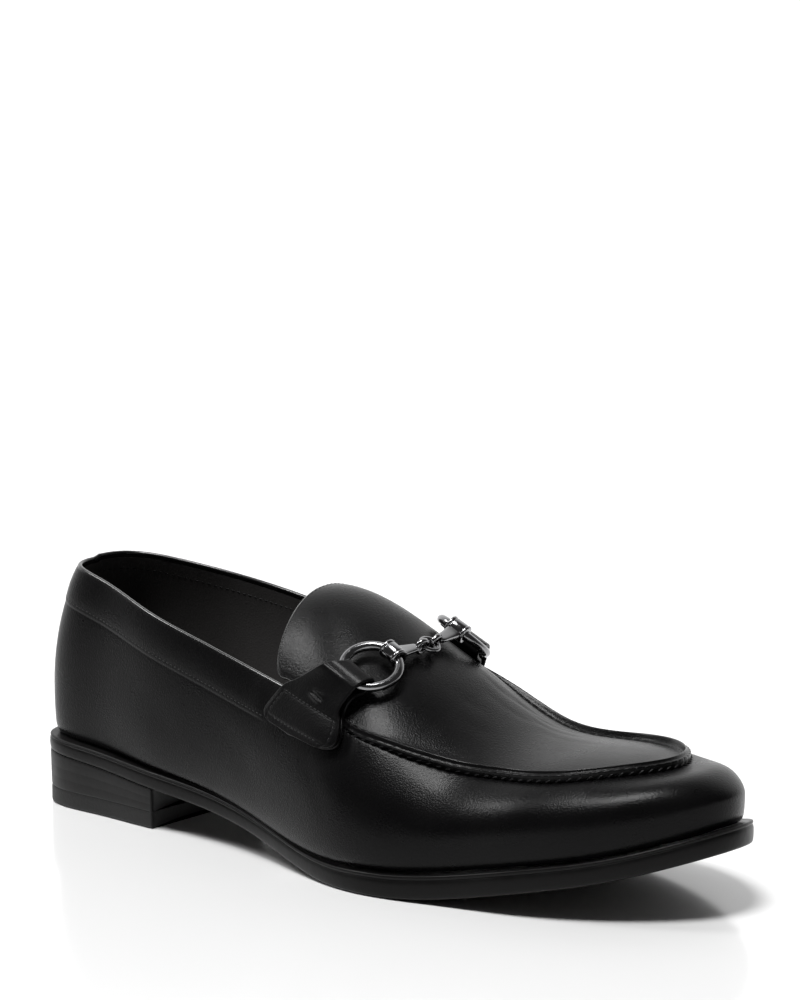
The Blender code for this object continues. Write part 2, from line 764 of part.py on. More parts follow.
def build_bit(places):
    """Two rings, two half bars and the link in the middle."""
    steel = (0.16, 0.16, 0.17)
    link, up = places["link"]
    wire = (RING_OUTER - RING_WIRE) / 2
    names = {OUTER: "lateral", INNER: "medial"}
    for side in (OUTER, INNER):
        centre, to_link, tangent, normal = ring_frame(side, places)
        ring = torus(centre, normal, wire, RING_WIRE / 2, 32, 9)
        make("bit_ring_" + names[side], *ring, steel, 0.16, 1.0)
        grip = centre + to_link * wire
        way = link - grip
        way = way - tangent * np.dot(way, tangent)
        eye = link + (grip - link) / np.linalg.norm(grip - link) * (
            (LINK_OUTER - LINK_WIRE) / 2 + 0.00045)
        axis = (eye - grip) / np.linalg.norm(eye - grip)
        cross = tangent - axis * np.dot(tangent, axis)
        cross /= np.linalg.norm(cross)
        top = np.cross(cross, axis)
        turns = [2 * math.pi * i / 14 for i in range(14)]

        def disc(place, radius):
            return [grip + tangent * place + radius * (axis * math.cos(t) + top * math.sin(t))
                    for t in turns]
        round_end = BARREL_OUTER / 2
        half = BARREL_LENGTH / 2
        barrel = loft([disc(-half, round_end * 0.88), disc(-half * 0.86, round_end),
                       disc(half * 0.86, round_end), disc(half, round_end * 0.88)])
        name = "bit_bar_" + names[side]
        body = make(name, *barrel, steel, 0.16, 1.0)
        whole = np.linalg.norm(eye - grip) - (EYE_OUTER - EYE_WIRE) / 2
        sections = []
        for share, wide in ((0.13, 0.80), (0.28, 0.80), (0.42, 0.60), (0.65, 0.47),
                            (0.88, 0.40), (1.0, 0.34)):
            w = wide * BARREL_LENGTH / 2
            h = BAR_THICK / 2 * (1.1 - 0.25 * share)
            base = grip + axis * whole * share
            ring_points = []
            for a, b in ((-1, -0.45), (-0.72, -1), (0.72, -1), (1, -0.45), (1, 0.45),
                         (0.72, 1), (-0.72, 1), (-1, 0.45)):
                ring_points.append(base + cross * w * a + top * h * b)
            sections.append(ring_points)
        bar = make(name + "_blade", *loft(sections), steel, 0.16, 1.0)
        hoop = torus(eye, cross, (EYE_OUTER - EYE_WIRE) / 2, EYE_WIRE / 2, 20, 8)
        hoop = make(name + "_eye", *hoop, steel, 0.16, 1.0)
        bore = torus(centre, normal, wire, RING_WIRE / 2 + CLEARANCE, 48, 12)
        bore = make(name + "_bore", *bore, steel, 0.16, 1.0)
        cut(body, bar, "UNION")
        cut(body, hoop, "UNION")
        cut(body, bore, "DIFFERENCE")
    chain = torus(link, up, (LINK_OUTER - LINK_WIRE) / 2, LINK_WIRE / 2, 24, 8)
    make("bit_link", *chain, steel, 0.16, 1.0)


def build_tab(side, name, places):
    """Doubled leather tab: up the flank, round the ring's wire and back down under itself."""
    centre, to_link, _, normal = ring_frame(side, places)
    girth = places[side][2]
    start = (BIT_ALONG - 0.5) * SHOE_LENGTH - BIT_SAG
    _, ahead = surface(side, start, girth)
    along = np.array([1.0, 0.0, 0.0])
    along = along - normal * np.dot(along, normal)
    along /= np.linalg.norm(along)
    down = np.cross(along, normal) * -side
    lean = math.radians(14.5)
    drop = down * math.cos(lean) - along * math.sin(lean)
    cross = along * math.cos(lean) + down * math.sin(lean)
    wire = (RING_OUTER - RING_WIRE) / 2
    lift = RING_WIRE / 2 + CLEARANCE + TAB_LEATHER / 2 + 0.00015
    turn_in = wire - RING_WIRE / 2 - CLEARANCE - TAB_LEATHER / 2 - 0.0026
    half = TAB_END / 2
    across = np.linspace(0, 1, 7)
    under_lift = TAB_GAP + TAB_LEATHER / 2
    over_lift = under_lift + TAB_LEATHER + CLEARANCE
    rows = []

    def flank(index, lift_by):
        row = []
        back = TAB["back"][index] * RING_OUTER
        front = TAB["front"][index] * RING_OUTER
        low = TAB["back_down"][index] * RING_OUTER
        high = TAB["front_down"][index] * RING_OUTER
        for t in across:
            p, n = surface(side, start + back + (front - back) * t,
                           girth + low + (high - low) * t)
            row.append(p + n * lift_by)
        return row

    def bridge(u, n, left, right):
        return [centre + drop * u + normal * n + cross * (left + (right - left) * t)
                for t in across]
    for index, loose in ((4, 0.0), (3, 0.0001), (2, 0.0004), (1, 0.0010), (0, 0.0022)):
        rows.append(flank(index, over_lift + loose))
    wide = wire + 0.0039
    spot, _ = surface(side, start, girth + wide)
    fall = max(float(np.dot(centre - spot, normal)) - BIT_LIFT - 0.0016, 0.0)
    rows.append(bridge(wide, 0.0009 - 0.2 * fall, -half * 2.0, half * 0.78))
    rows.append(bridge(wire + 0.0021, 0.0021, -half * 1.75, half * 0.82))
    rows.append(bridge(wire, lift, -half * 1.5, half * 0.88))
    rows.append(bridge(wire - 0.0025, lift - 0.0002, -half * 1.12, half * 0.95))
    rows.append(bridge(turn_in + 0.0007, 0.0019, -half, half))
    rows.append(bridge(turn_in, 0.0, -half, half))
    rows.append(bridge(turn_in + 0.0007, -0.0019, -half, half))
    rows.append(bridge(wire - 0.0025, 0.0002 - lift, -half * 1.12, half * 0.95))
    rows.append(bridge(wire, -lift, -half * 1.5, half * 0.88))
    rows.append(bridge(wide, -0.0029 - 0.45 * fall, -half * 2.0, half * 0.78))
    for index in (0, 1, 2, 3, 4):
        rows.append(flank(index, under_lift))
    n = len(across)
    points = np.array([p for row in rows for p in row])
    faces = []
    for r in range(len(rows) - 1):
        for i in range(n - 1):
            face = (r * n + i, r * n + i + 1, (r + 1) * n + i + 1, (r + 1) * n + i)
            faces.append(face if side == OUTER else face[::-1])
    points, normals, rims = thicken(points, faces, 0, 0)
    depth = TAB_LEATHER / 2
    solid = shell_mesh(points, faces, normals, rims, [depth] * len(points), depth)
    make(name, *solid, (0.013, 0.013, 0.014), 0.4)


def main():
    """Clear the scene and build the shoe."""
    for thing in list(bpy.data.objects):
        bpy.data.objects.remove(thing, do_unlink=True)
    build_sole()
    build_upper()
    places = bit_places()
    build_tab(OUTER, "strap_lateral", places)
    build_tab(INNER, "strap_medial", places)
    build_bit(places)


main()
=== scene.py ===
"""Bit loafer: leather, seams, stitches, edges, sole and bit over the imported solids.

+X runs from heel to toe, +Y to the inner side and +Z up, in metres.
"""
import math

import bmesh
import bpy
import numpy as np
from mathutils import Matrix, Vector


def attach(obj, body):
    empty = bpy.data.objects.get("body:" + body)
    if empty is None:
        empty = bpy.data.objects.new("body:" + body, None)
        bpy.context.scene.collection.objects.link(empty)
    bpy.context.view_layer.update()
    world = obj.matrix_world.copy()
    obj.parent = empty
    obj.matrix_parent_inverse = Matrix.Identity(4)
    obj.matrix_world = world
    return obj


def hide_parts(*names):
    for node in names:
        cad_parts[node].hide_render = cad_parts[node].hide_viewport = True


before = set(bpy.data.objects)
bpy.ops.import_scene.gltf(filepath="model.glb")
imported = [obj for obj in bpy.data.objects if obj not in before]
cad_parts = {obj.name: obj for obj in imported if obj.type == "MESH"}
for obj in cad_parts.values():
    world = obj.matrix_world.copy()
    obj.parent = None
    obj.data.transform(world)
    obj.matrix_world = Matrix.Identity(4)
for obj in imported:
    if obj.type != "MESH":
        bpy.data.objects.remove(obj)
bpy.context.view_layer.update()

# Sizes of the last, the sole and the bit, as in the solids
SHOE_LENGTH = 0.300
BALL_WIDTH = 0.104
HEEL_HEIGHT = 0.020
TOE_SPRING = 0.023
SOLE_EDGE = 0.0083
INSTEP_HEIGHT = 0.077
COUNTER_HEIGHT = 0.0636
CLEARANCE = 0.0003
HEEL_LENGTH = 0.064
TOP_LIFT = 0.0062
BREAST_HOLLOW = 0.004
HEEL_LEDGE = 0.002
TOE_LEDGE = 0.0045
LEATHER = 0.0020
COLLAR_DEPTH = 0.0145
TONGUE_DROP = 0.0105
SOCK = 0.0020
TAB_LEATHER = 0.0013
TAB_GAP = 0.0004
TAB_END = 0.0116
RING_OUTER = 0.0230
RING_WIRE = 0.0034
BIT_REACH = 0.0270
BIT_LIFT = 0.0044
BIT_SAG = 0.0050
BIT_SIDE = 0.0055
LINK_LIFT = 0.0038
BARREL_LENGTH = 0.0075
BARREL_OUTER = 0.0070
BAR_THICK = 0.0020
EYE_OUTER = 0.0064
EYE_WIRE = 0.0016
LINK_OUTER = 0.0084
LINK_WIRE = 0.0017
HEEL_ROUND = 0.337
HEEL_POWER = 2.9
TOE_ROUND = 0.67
TOE_POWER = 2.0
APRON_ROUND = 0.44
APRON_POWER = 1.9
TONGUE_ROUND = 0.13
TONGUE_POWER = 3.2
HEEL_CROWN = 0.127
TOE_CROWN = 0.873
HEEL_GATHER = 0.040
TOE_GATHER = 0.033
THROAT = 0.513
APRON_TIP = 0.917
TONGUE_TIP = 0.402
BIT_ALONG = 0.565
MM = 0.001


def table(names, rows):
    """Columns of a table by name."""
    return dict(zip(names.split(), np.array(rows, float).T))


# Sole, a row a section. along is a share of the length, outer, inner and ledge of the ball
# width, heel of the heel height, toe of the toe spring and edge of the sole's edge
SOLE = table("along outer inner heel toe edge ledge", (
    (0.0, 0.262, 0.296, 1.00, 0.00, 0.717, 0.038),
    (0.1, 0.252, 0.304, 0.90, 0.00, 0.735, 0.038),
    (0.2, 0.290, 0.317, 0.75, 0.00, 0.783, 0.027),
    (0.3, 0.317, 0.290, 0.60, 0.00, 0.795, 0.016),
    (0.4, 0.375, 0.271, 0.36, 0.00, 0.771, 0.009),
    (0.5, 0.480, 0.288, 0.085, 0.00, 0.843, 0.018),
    (0.6, 0.553, 0.363, 0.00, -0.01, 0.988, 0.034),
    (0.7, 0.520, 0.425, 0.00, 0.074, 1.036, 0.043),
    (0.8, 0.480, 0.462, 0.00, 0.322, 1.012, 0.041),
    (0.9, 0.442, 0.447, 0.00, 0.596, 0.976, 0.040),
    (1.0, 0.404, 0.404, 0.00, 1.00, 0.976, 0.044),
))
# Last, a row a section. ridge is the instep's ridge above the sole as a share of the instep
# height, and the rest are shares of the ball width: the ridge's place to the inner side, the
# swell of the two walls over the sole's edge, its height, and the fullness of the shoulders
LAST = table("along ridge side outer inner swell full_out full_in", (
    (0.0, 1.18, 0.00, 0.012, 0.012, 0.163, -0.03, -0.03),
    (0.1, 1.205, 0.00, 0.017, 0.019, 0.165, -0.02, -0.01),
    (0.2, 1.24, 0.00, 0.030, 0.034, 0.158, 0.01, 0.04),
    (0.3, 1.24, 0.00, 0.038, 0.047, 0.149, 0.00, 0.02),
    (0.4, 1.16, 0.005, 0.041, 0.056, 0.140, -0.03, 0.00),
    (0.5, 1.00, 0.010, 0.038, 0.046, 0.131, 0.00, 0.05),
    (0.6, 0.783, 0.014, 0.035, 0.030, 0.120, 0.01, 0.05),
    (0.7, 0.548, 0.019, 0.026, 0.021, 0.110, -0.01, 0.02),
    (0.8, 0.438, 0.019, 0.022, 0.016, 0.109, 0.02, 0.04),
    (0.9, 0.344, 0.010, 0.017, 0.010, 0.098, 0.04, 0.04),
    (1.0, 0.149, 0.005, 0.012, 0.012, 0.096, 0.05, 0.05),
))
# Top edge of the quarters, heights above the sole as shares of the counter height
TOPLINE = table("along outer inner", (
    (0.00, 1.015, 1.015),
    (0.10, 0.965, 1.000),
    (0.20, 0.895, 0.963),
    (0.30, 0.835, 0.948),
    (0.40, 0.810, 0.959),
    (0.46, 0.815, 0.975),
))
# Apron's outline seen from above, shares of the ball width
APRON = table("along outer inner", (
    (0.51, 0.392, 0.243),
    (0.56, 0.444, 0.262),
    (0.62, 0.427, 0.277),
    (0.68, 0.367, 0.283),
    (0.75, 0.329, 0.300),
    (0.83, 0.338, 0.330),
    (0.90, 0.310, 0.315),
    (1.00, 0.300, 0.305),
))
# Tab below its ring, a row a level, all shares of the ring's width: how far the back and the
# front edges stand ahead of the ring and how far down the flank they are
TAB = table("back back_down front front_down", (
    (-0.93, 0.72, -0.02, 0.80),
    (-1.20, 0.90, 0.03, 0.95),
    (-1.38, 1.14, 0.10, 1.14),
    (-1.53, 1.38, 0.06, 1.33),
    (-1.57, 1.53, -0.10, 1.47),
))
# Raised seam round the apron, in millimetres: how far in from the seam and how high it stands
ROLL = table("inward height", (
    (0.0, 0.0), (0.10, 0.9), (0.22, 1.7), (0.36, 2.2), (0.52, 2.42), (0.72, 2.40), (1.05, 2.32),
    (1.5, 2.45), (1.9, 2.80), (2.15, 3.10), (2.32, 3.22), (2.45, 3.16), (2.55, 2.7), (2.64, 1.9),
    (2.76, 1.15), (3.0, 0.62), (3.6, 0.3), (4.8, 0.1), (6.6, 0.0),
))


def curve(tab, column, size):
    """Natural cubic through a column of a table, straight beyond both ends.

    It gives its value or its slope at x.
    """
    x = (tab["along"] - 0.5) * SHOE_LENGTH
    y = tab[column] * size
    n = len(x)
    h = np.diff(x)
    grid = np.eye(n)
    turn = np.zeros(n)
    for i in range(1, n - 1):
        grid[i, i - 1:i + 2] = (h[i - 1], 2 * (h[i - 1] + h[i]), h[i])
        turn[i] = 6 * ((y[i + 1] - y[i]) / h[i] - (y[i] - y[i - 1]) / h[i - 1])
    bend = np.linalg.solve(grid, turn)

    def at(px, slope=False):
        near = np.clip(px, x[0], x[-1])
        i = np.clip(np.searchsorted(x, near) - 1, 0, n - 2)
        b = (near - x[i]) / h[i]
        a = 1 - b
        value = a * y[i] + b * y[i + 1]
        value = value + ((a**3 - a) * bend[i] + (b**3 - b) * bend[i + 1]) * h[i]**2 / 6
        tilt = (y[i + 1] - y[i]) / h[i]
        tilt = tilt + ((3 * b * b - 1) * bend[i + 1] - (3 * a * a - 1) * bend[i]) * h[i] / 6
        if slope:
            return tilt
        return value + tilt * (px - near)
    return at


def closing(depth, reach, power):
    """Share of the full width at a depth in from a rounded end.

    It is the power's root of one less the share of the reach still ahead, to the power.
    """
    share = np.clip(1 - depth / reach, 0, 1)
    return np.clip(1 - share**power, 0, 1)**(1 / power)


def smooth(value, low, high):
    """Soft step from 0 at low to 1 at high: three squares less two cubes."""
    t = np.clip((value - low) / (high - low), 0, 1)
    return t * t * (3 - 2 * t)


def bell(value, wide):
    """Bell curve: e to the power of minus the square of the value over the width."""
    return np.exp(-(value / wide)**2)


def unit(way):
    """Directions of length one."""
    return way / np.maximum(np.linalg.norm(way, axis=-1, keepdims=True), 1e-9)


def arc_length(line):
    """Distance along a line of points to each of them."""
    steps = np.linalg.norm(np.diff(line, axis=0), axis=1)
    return np.concatenate([[0.0], np.cumsum(steps)])


def along_line(line, arc, marks):
    """Points of a line at marks along it."""
    return np.stack([np.interp(marks, arc, line[:, axis]) for axis in range(3)], -1)


OUTER = -1
INNER = 1
HALF = SHOE_LENGTH / 2
WIDTH = {OUTER: curve(SOLE, "outer", BALL_WIDTH), INNER: curve(SOLE, "inner", BALL_WIDTH)}
SWELL = {OUTER: curve(LAST, "outer", BALL_WIDTH), INNER: curve(LAST, "inner", BALL_WIDTH)}
FULL = {OUTER: curve(LAST, "full_out", 1), INNER: curve(LAST, "full_in", 1)}
RIM = {OUTER: curve(APRON, "outer", BALL_WIDTH), INNER: curve(APRON, "inner", BALL_WIDTH)}
HEEL_PITCH = curve(SOLE, "heel", HEEL_HEIGHT)
TOE_PITCH = curve(SOLE, "toe", TOE_SPRING)
EDGE = curve(SOLE, "edge", SOLE_EDGE)
LEDGE = curve(SOLE, "ledge", BALL_WIDTH)
RIDGE = curve(LAST, "ridge", INSTEP_HEIGHT)
RIDGE_SIDE = curve(LAST, "side", BALL_WIDTH)
SWELL_RISE = curve(LAST, "swell", BALL_WIDTH)
THROAT_X = (THROAT - 0.5) * SHOE_LENGTH
APRON_END = (APRON_TIP - 0.5) * SHOE_LENGTH
TONGUE_END = (TONGUE_TIP - 0.5) * SHOE_LENGTH
HEEL_REACH = HEEL_ROUND * BALL_WIDTH
TOE_REACH = TOE_ROUND * BALL_WIDTH


def under(x):
    """Underside of the sole, flat on the floor under the ball."""
    return np.maximum(HEEL_PITCH(x) + TOE_PITCH(x), 0.0)


def deck(x):
    """Top face of the sole."""
    return under(x) + EDGE(x)


def outline(side, x, back, front, inset):
    """Half width of an outline that stops short of the heel's and the toe's ends."""
    width = WIDTH[side](x) - inset
    width = width * closing(x + HALF - back, HEEL_REACH - back, HEEL_POWER)
    return width * closing(HALF - front - x, TOE_REACH - front, TOE_POWER)


def off_centre():
    """How far the sole's middle stands to the outer side of the last's own line."""
    x = np.linspace(-HALF, HALF, 1201)
    wide = [outline(side, x, 0.0, 0.0, 0.0).max() for side in (OUTER, INNER)]
    return (wide[0] - wide[1]) / 2


SIDEWAYS = off_centre()


def slide(x):
    """Where the section from x on the sole meets the ridge, gathered at heel and toe."""
    near = (HEEL_CROWN - 0.5) * SHOE_LENGTH
    far = (TOE_CROWN - 0.5) * SHOE_LENGTH
    soft = HEEL_GATHER * SHOE_LENGTH
    x = near + soft * np.logaddexp(0, (x - near) / soft)
    soft = TOE_GATHER * SHOE_LENGTH
    return far - soft * np.logaddexp(0, (far - x) / soft)


def shared(pair, side, x):
    """A side's value at x, drawn to the mean of both sides at the heel's and the toe's ends."""
    near = 1 - smooth(x, -HALF + HEEL_LEDGE, -HALF + HEEL_LEDGE + 0.014)
    far = smooth(x, HALF - TOE_LEDGE - 0.014, HALF - TOE_LEDGE)
    return pair[side](x) + (pair[-side](x) - pair[side](x)) * 0.5 * (near + far)


def section(side, x, turn):
    """Last's surface in the sections from each x: turn is -1 on the sole and 1 on the ridge.

    A quarter ellipse swells out over the sole's edge up to turn 0, and a fuller quarter
    ellipse closes over the shoulder up to the ridge. x has a value a section and turn a row.
    """
    x = np.asarray(x, float)
    turn = np.asarray(turn, float)
    foot = np.stack([x, side * outline(side, x, HEEL_LEDGE, TOE_LEDGE, LEDGE(x))], -1)
    foot_z = deck(x) + CLEARANCE
    spine = slide(x)
    apex = np.stack([spine, RIDGE_SIDE(spine)], -1)
    apex_z = deck(spine) + RIDGE(spine)
    fall = RIDGE(spine, True) + (deck(spine + 1e-4) - deck(spine - 1e-4)) / 2e-4
    reach = np.linalg.norm(apex - foot, axis=-1)
    way = (apex - foot) / reach[:, None]
    low = (1 + np.minimum(turn, 0)) * math.pi / 2
    high = np.maximum(turn, 0) * math.pi / 2
    puff = shared(FULL, side, x)[:, None] * np.sin(2 * high)**2
    bulge = shared(SWELL, side, x)[:, None]
    out = (reach[:, None] + bulge) * (1 - np.cos(high) - puff) - bulge * np.sin(low)
    px = foot[:, :1] + way[:, :1] * out
    py = foot[:, 1:] + way[:, 1:] * out
    rise = SWELL_RISE(x)[:, None]
    waist = foot_z[:, None] + rise
    top = apex_z[:, None] + fall[:, None] * (px - spine[:, None]) - waist
    pz = foot_z[:, None] + rise * (1 - np.cos(low)) + top * (np.sin(high) + puff)
    return np.stack([px, py, pz], -1)


def crossing(side, x, test):
    """Turn in each section at which the test of its point passes from below to above zero."""
    low = np.full(len(x), -0.99)
    high = np.ones(len(x))
    for _ in range(34):
        middle = (low + high) / 2
        above = test(section(side, x, middle[:, None])[:, 0]) > 0
        high = np.where(above, middle, high)
        low = np.where(above, low, middle)
    return high


def spread(lines, places):
    """Points at the given distances along each line of points."""
    return np.stack([along_line(line, arc_length(line), at) for line, at in zip(lines, places)])


def lengths(lines):
    """Length of each line of points."""
    return np.linalg.norm(np.diff(lines, axis=1), axis=2).sum(axis=1)


def rim_half(side, x):
    """Half width of the apron seen from above."""
    return RIM[side](x) * closing(APRON_END - x, APRON_ROUND * BALL_WIDTH, APRON_POWER)


def inside_apron(side):
    """Test that is above zero where a point lies within the apron's outline."""
    def test(p):
        return np.where(p[:, 0] >= APRON_END, -1.0, rim_half(side, p[:, 0]) - side * p[:, 1])
    return test


def over_topline(side):
    """Test that is above zero where a point lies above the top edge of the quarters."""
    throat = np.array([THROAT_X])
    turn = crossing(side, throat, inside_apron(side))
    knot = section(side, throat, turn[:, None])[0, 0]
    column = "outer" if side == OUTER else "inner"
    share = (knot[2] - deck(THROAT_X)) / COUNTER_HEIGHT
    line = {"along": np.append(TOPLINE["along"], THROAT),
            column: np.append(TOPLINE[column], share)}
    height = curve(line, column, COUNTER_HEIGHT)

    def test(p):
        return p[:, 2] - deck(p[:, 0]) - height(p[:, 0])
    return test


def grid_normals(points, wrap, flip):
    """Unit normals of a grid: the cross product of its differences along its two ways."""
    if wrap:
        along = np.roll(points, -1, axis=0) - np.roll(points, 1, axis=0)
    else:
        along = np.gradient(points, axis=0)
    down = np.gradient(points, axis=1)
    normal = np.cross(along, down)
    size = np.linalg.norm(normal, axis=2, keepdims=True)
    normal = np.where(size > 1e-14, normal / np.maximum(size, 1e-14), (0.0, 0.0, 1.0))
    return -normal if flip else normal


def finish_mesh(name, points, faces, look, weld=False, rub=None):
    """Object at the origin from arrays, riding on the root; rub is how far each point is rubbed."""
    mesh = bpy.data.meshes.new(name)
    points = np.asarray(points, float).reshape(-1, 3) + (0.0, SIDEWAYS, 0.0)
    faces = np.asarray(faces)
    mesh.vertices.add(len(points))
    mesh.vertices.foreach_set("co", points.ravel())
    count = faces.shape[1]
    mesh.loops.add(faces.size)
    mesh.loops.foreach_set("vertex_index", faces.ravel())
    mesh.polygons.add(len(faces))
    mesh.polygons.foreach_set("loop_start", np.arange(0, faces.size, count))
    mesh.polygons.foreach_set("loop_total", np.full(len(faces), count))
    if rub is not None:
        layer = mesh.attributes.new("rub", "FLOAT", "POINT")
        layer.data.foreach_set("value", np.ascontiguousarray(rub, float).ravel())
    mesh.update()
    mesh.validate()
    if weld:
        work = bmesh.new()
        work.from_mesh(mesh)
        bmesh.ops.remove_doubles(work, verts=work.verts, dist=2e-6)
        bmesh.ops.dissolve_degenerate(work, edges=work.edges, dist=1e-7)
        work.to_mesh(mesh)
        work.free()
    mesh.polygons.foreach_set("use_smooth", np.full(len(mesh.polygons), True))
    thing = bpy.data.objects.new(name, mesh)
    bpy.context.scene.collection.objects.link(thing)
    mesh.materials.append(look)
    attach(thing, "root")
    return thing


def grid_faces(rows, columns, wrap_rows=False, wrap_columns=False, flip=False):
    """Four-sided faces of a grid of points, joined round where asked."""
    i = np.arange(rows if wrap_rows else rows - 1)[:, None]
    j = np.arange(columns if wrap_columns else columns - 1)[None, :]
    a = i * columns + j
    b = ((i + 1) % rows) * columns + j
    c = ((i + 1) % rows) * columns + (j + 1) % columns
    d = i * columns + (j + 1) % columns
    faces = np.stack([a, b, c, d], -1).reshape(-1, 4)
    return faces[:, ::-1] if flip else faces


def strokes(x, y, rows):
    """Height from soft strokes: a bell curve across each bowed line, faded out at both ends.

    A row has the line's two ends, its width and its height, all in millimetres.
    """
    total = np.zeros(np.broadcast(x, y).shape)
    for x0, y0, x1, y1, wide, high in np.array(rows) * MM:
        way = np.array([x1 - x0, y1 - y0])
        size = np.hypot(*way)
        t = ((x - x0) * way[0] + (y - y0) * way[1]) / size**2
        off = ((x - x0) * way[1] - (y - y0) * way[0]) / size
        bow = 0.10 * size * (1 - (2 * np.clip(t, 0, 1) - 1)**2)
        ends = smooth(t, 0.0, 0.35) * smooth(-t, -1.0, -0.65)
        total = total + high * bell(off - bow, wide) * ends
    return total


# Finishes
def node(tree, kind, **sockets):
    """Shader node of a kind, with values on the sockets that are named."""
    made = tree.nodes.new("ShaderNode" + kind)
    for label, value in sockets.items():
        made.inputs[label.replace("_", " ")].default_value = value
    return made


def weighted(tree, value, weight, rest=None):
    """A value times a weight, plus the rest where there is one."""
    made = node(tree, "Math")
    made.operation = "MULTIPLY" if rest is None else "MULTIPLY_ADD"
    made.inputs[1].default_value = weight
    tree.links.new(value, made.inputs[0])
    if rest is not None:
        tree.links.new(rest, made.inputs[2])
    return made.outputs[0]


def grain_group():
    """Leather grain: height is soft cells, half a finer noise and 0.3 of a slow one, the mask."""
    tree = bpy.data.node_groups.new("leather_grain", "ShaderNodeTree")
    for label, value in (("Cells", 1500.0), ("Swell", 60.0)):
        socket = tree.interface.new_socket(label, in_out="INPUT", socket_type="NodeSocketFloat")
        socket.default_value = value
    for label in ("Height", "Mask"):
        tree.interface.new_socket(label, in_out="OUTPUT", socket_type="NodeSocketFloat")
    link = tree.links.new
    given = tree.nodes.new("NodeGroupInput")
    gives = tree.nodes.new("NodeGroupOutput")
    place = node(tree, "TexCoord")
    cells = node(tree, "TexVoronoi")
    cells.feature = "SMOOTH_F1"
    cells.inputs["Smoothness"].default_value = 0.7
    fine = node(tree, "TexNoise", Detail=3.0)
    slow = node(tree, "TexNoise", Detail=4.0)
    for pattern in (cells, fine, slow):
        link(place.outputs["Object"], pattern.inputs["Vector"])
    link(given.outputs["Cells"], cells.inputs["Scale"])
    link(weighted(tree, given.outputs["Cells"], 2.1), fine.inputs["Scale"])
    link(given.outputs["Swell"], slow.inputs["Scale"])
    height = weighted(tree, fine.outputs["Fac"], 0.5, cells.outputs["Distance"])
    height = weighted(tree, slow.outputs["Fac"], 0.3, height)
    link(height, gives.inputs["Height"])
    link(slow.outputs["Fac"], gives.inputs["Mask"])
    return tree


GRAIN = grain_group()


def new_finish(name, **sockets):
    """Material with values on its shader's own sockets, with its node tree and its shader."""
    look = bpy.data.materials.new(name)
    look.use_nodes = True
    shader = look.node_tree.nodes["Principled BSDF"]
    for label, value in sockets.items():
        shader.inputs[label.replace("_", " ")].default_value = value
    return look, look.node_tree, shader


def leather(name, colour, rough, patchy, cells, height, coat=0.0, swell=60.0, gloss=0.095,
            rubbed=False):
    """Leather with grain for its bump, and a tint and a roughness that follow the slow noise.

    Where it is rubbed, the polish on top grows from its own weight up to 1 with the rub.
    """
    look, tree, shader = new_finish(name, Coat_Weight=coat, Coat_Roughness=0.22,
                                    Specular_IOR_Level=gloss)
    link = tree.links.new
    grain = node(tree, "Group")
    grain.node_tree = GRAIN
    grain.inputs["Cells"].default_value = cells
    grain.inputs["Swell"].default_value = swell
    shine = node(tree, "MapRange", From_Min=0.3, From_Max=0.7, To_Min=rough - patchy,
                 To_Max=rough + patchy)
    link(grain.outputs["Mask"], shine.inputs["Value"])
    link(shine.outputs["Result"], shader.inputs["Roughness"])
    tint = node(tree, "Mix")
    tint.data_type = "RGBA"
    tint.inputs["A"].default_value = (*[c * 0.8 for c in colour], 1.0)
    tint.inputs["B"].default_value = (*[c * 1.25 for c in colour], 1.0)
    link(grain.outputs["Mask"], tint.inputs["Factor"])
    link(tint.outputs["Result"], shader.inputs["Base Color"])
    bump = node(tree, "Bump", Strength=1.0, Distance=height)
    link(grain.outputs["Height"], bump.inputs["Height"])
    link(bump.outputs["Normal"], shader.inputs["Normal"])
    if rubbed:
        worn = node(tree, "Attribute")
        worn.attribute_name = "rub"
        polish = node(tree, "MapRange", To_Min=coat, To_Max=1.0)
        link(worn.outputs["Fac"], polish.inputs["Value"])
        link(polish.outputs["Result"], shader.inputs["Coat Weight"])
    return look


def metal(name, colour, rough, scratch):
    """Polished dark metal: one noise gives its smudges and its faint scratches."""
    look, tree, shader = new_finish(name, Base_Color=(*colour, 1.0), Metallic=1.0)
    link = tree.links.new
    smudge = node(tree, "TexNoise", Scale=420.0, Detail=5.0)
    link(node(tree, "TexCoord").outputs["Object"], smudge.inputs["Vector"])
    shine = node(tree, "MapRange", From_Min=0.35, From_Max=0.75, To_Min=rough, To_Max=rough * 2.2)
    link(smudge.outputs["Fac"], shine.inputs["Value"])
    link(shine.outputs["Result"], shader.inputs["Roughness"])
    bump = node(tree, "Bump", Strength=0.4, Distance=scratch)
    link(smudge.outputs["Fac"], bump.inputs["Height"])
    link(bump.outputs["Normal"], shader.inputs["Normal"])
    return look


BLACK = leather("black_leather", (0.0030, 0.0029, 0.0031), 0.29, 0.04, 1750.0, 0.00008,
                coat=0.05, gloss=0.1, rubbed=True)
TAB_BLACK = leather("tab_leather", (0.0034, 0.0033, 0.0035), 0.33, 0.05, 1750.0, 0.00008,
                    coat=0.08)
LINING = leather("lining_leather", (0.07, 0.067, 0.066), 0.5, 0.05, 1700.0, 0.00004)
SOCK_LOOK = leather("sock_leather", (0.02, 0.0185, 0.018), 0.5, 0.05, 1700.0, 0.00004)
EDGE_LOOK = leather("edge_dressing", (0.005, 0.0048, 0.0048), 0.34, 0.06, 500.0, 0.00003,
                    swell=140.0, gloss=0.14)
HEEL_LOOK = leather("heel_dressing", (0.007, 0.0068, 0.0068), 0.42, 0.06, 420.0, 0.00003,
                    swell=160.0, gloss=0.22)
LIFT_LOOK = leather("lift_rubber", (0.011, 0.011, 0.011), 0.55, 0.06, 900.0, 0.00005, gloss=0.3)
FLOOR_LEATHER = leather("sole_leather", (0.020, 0.017, 0.015), 0.5, 0.07, 800.0, 0.00004)
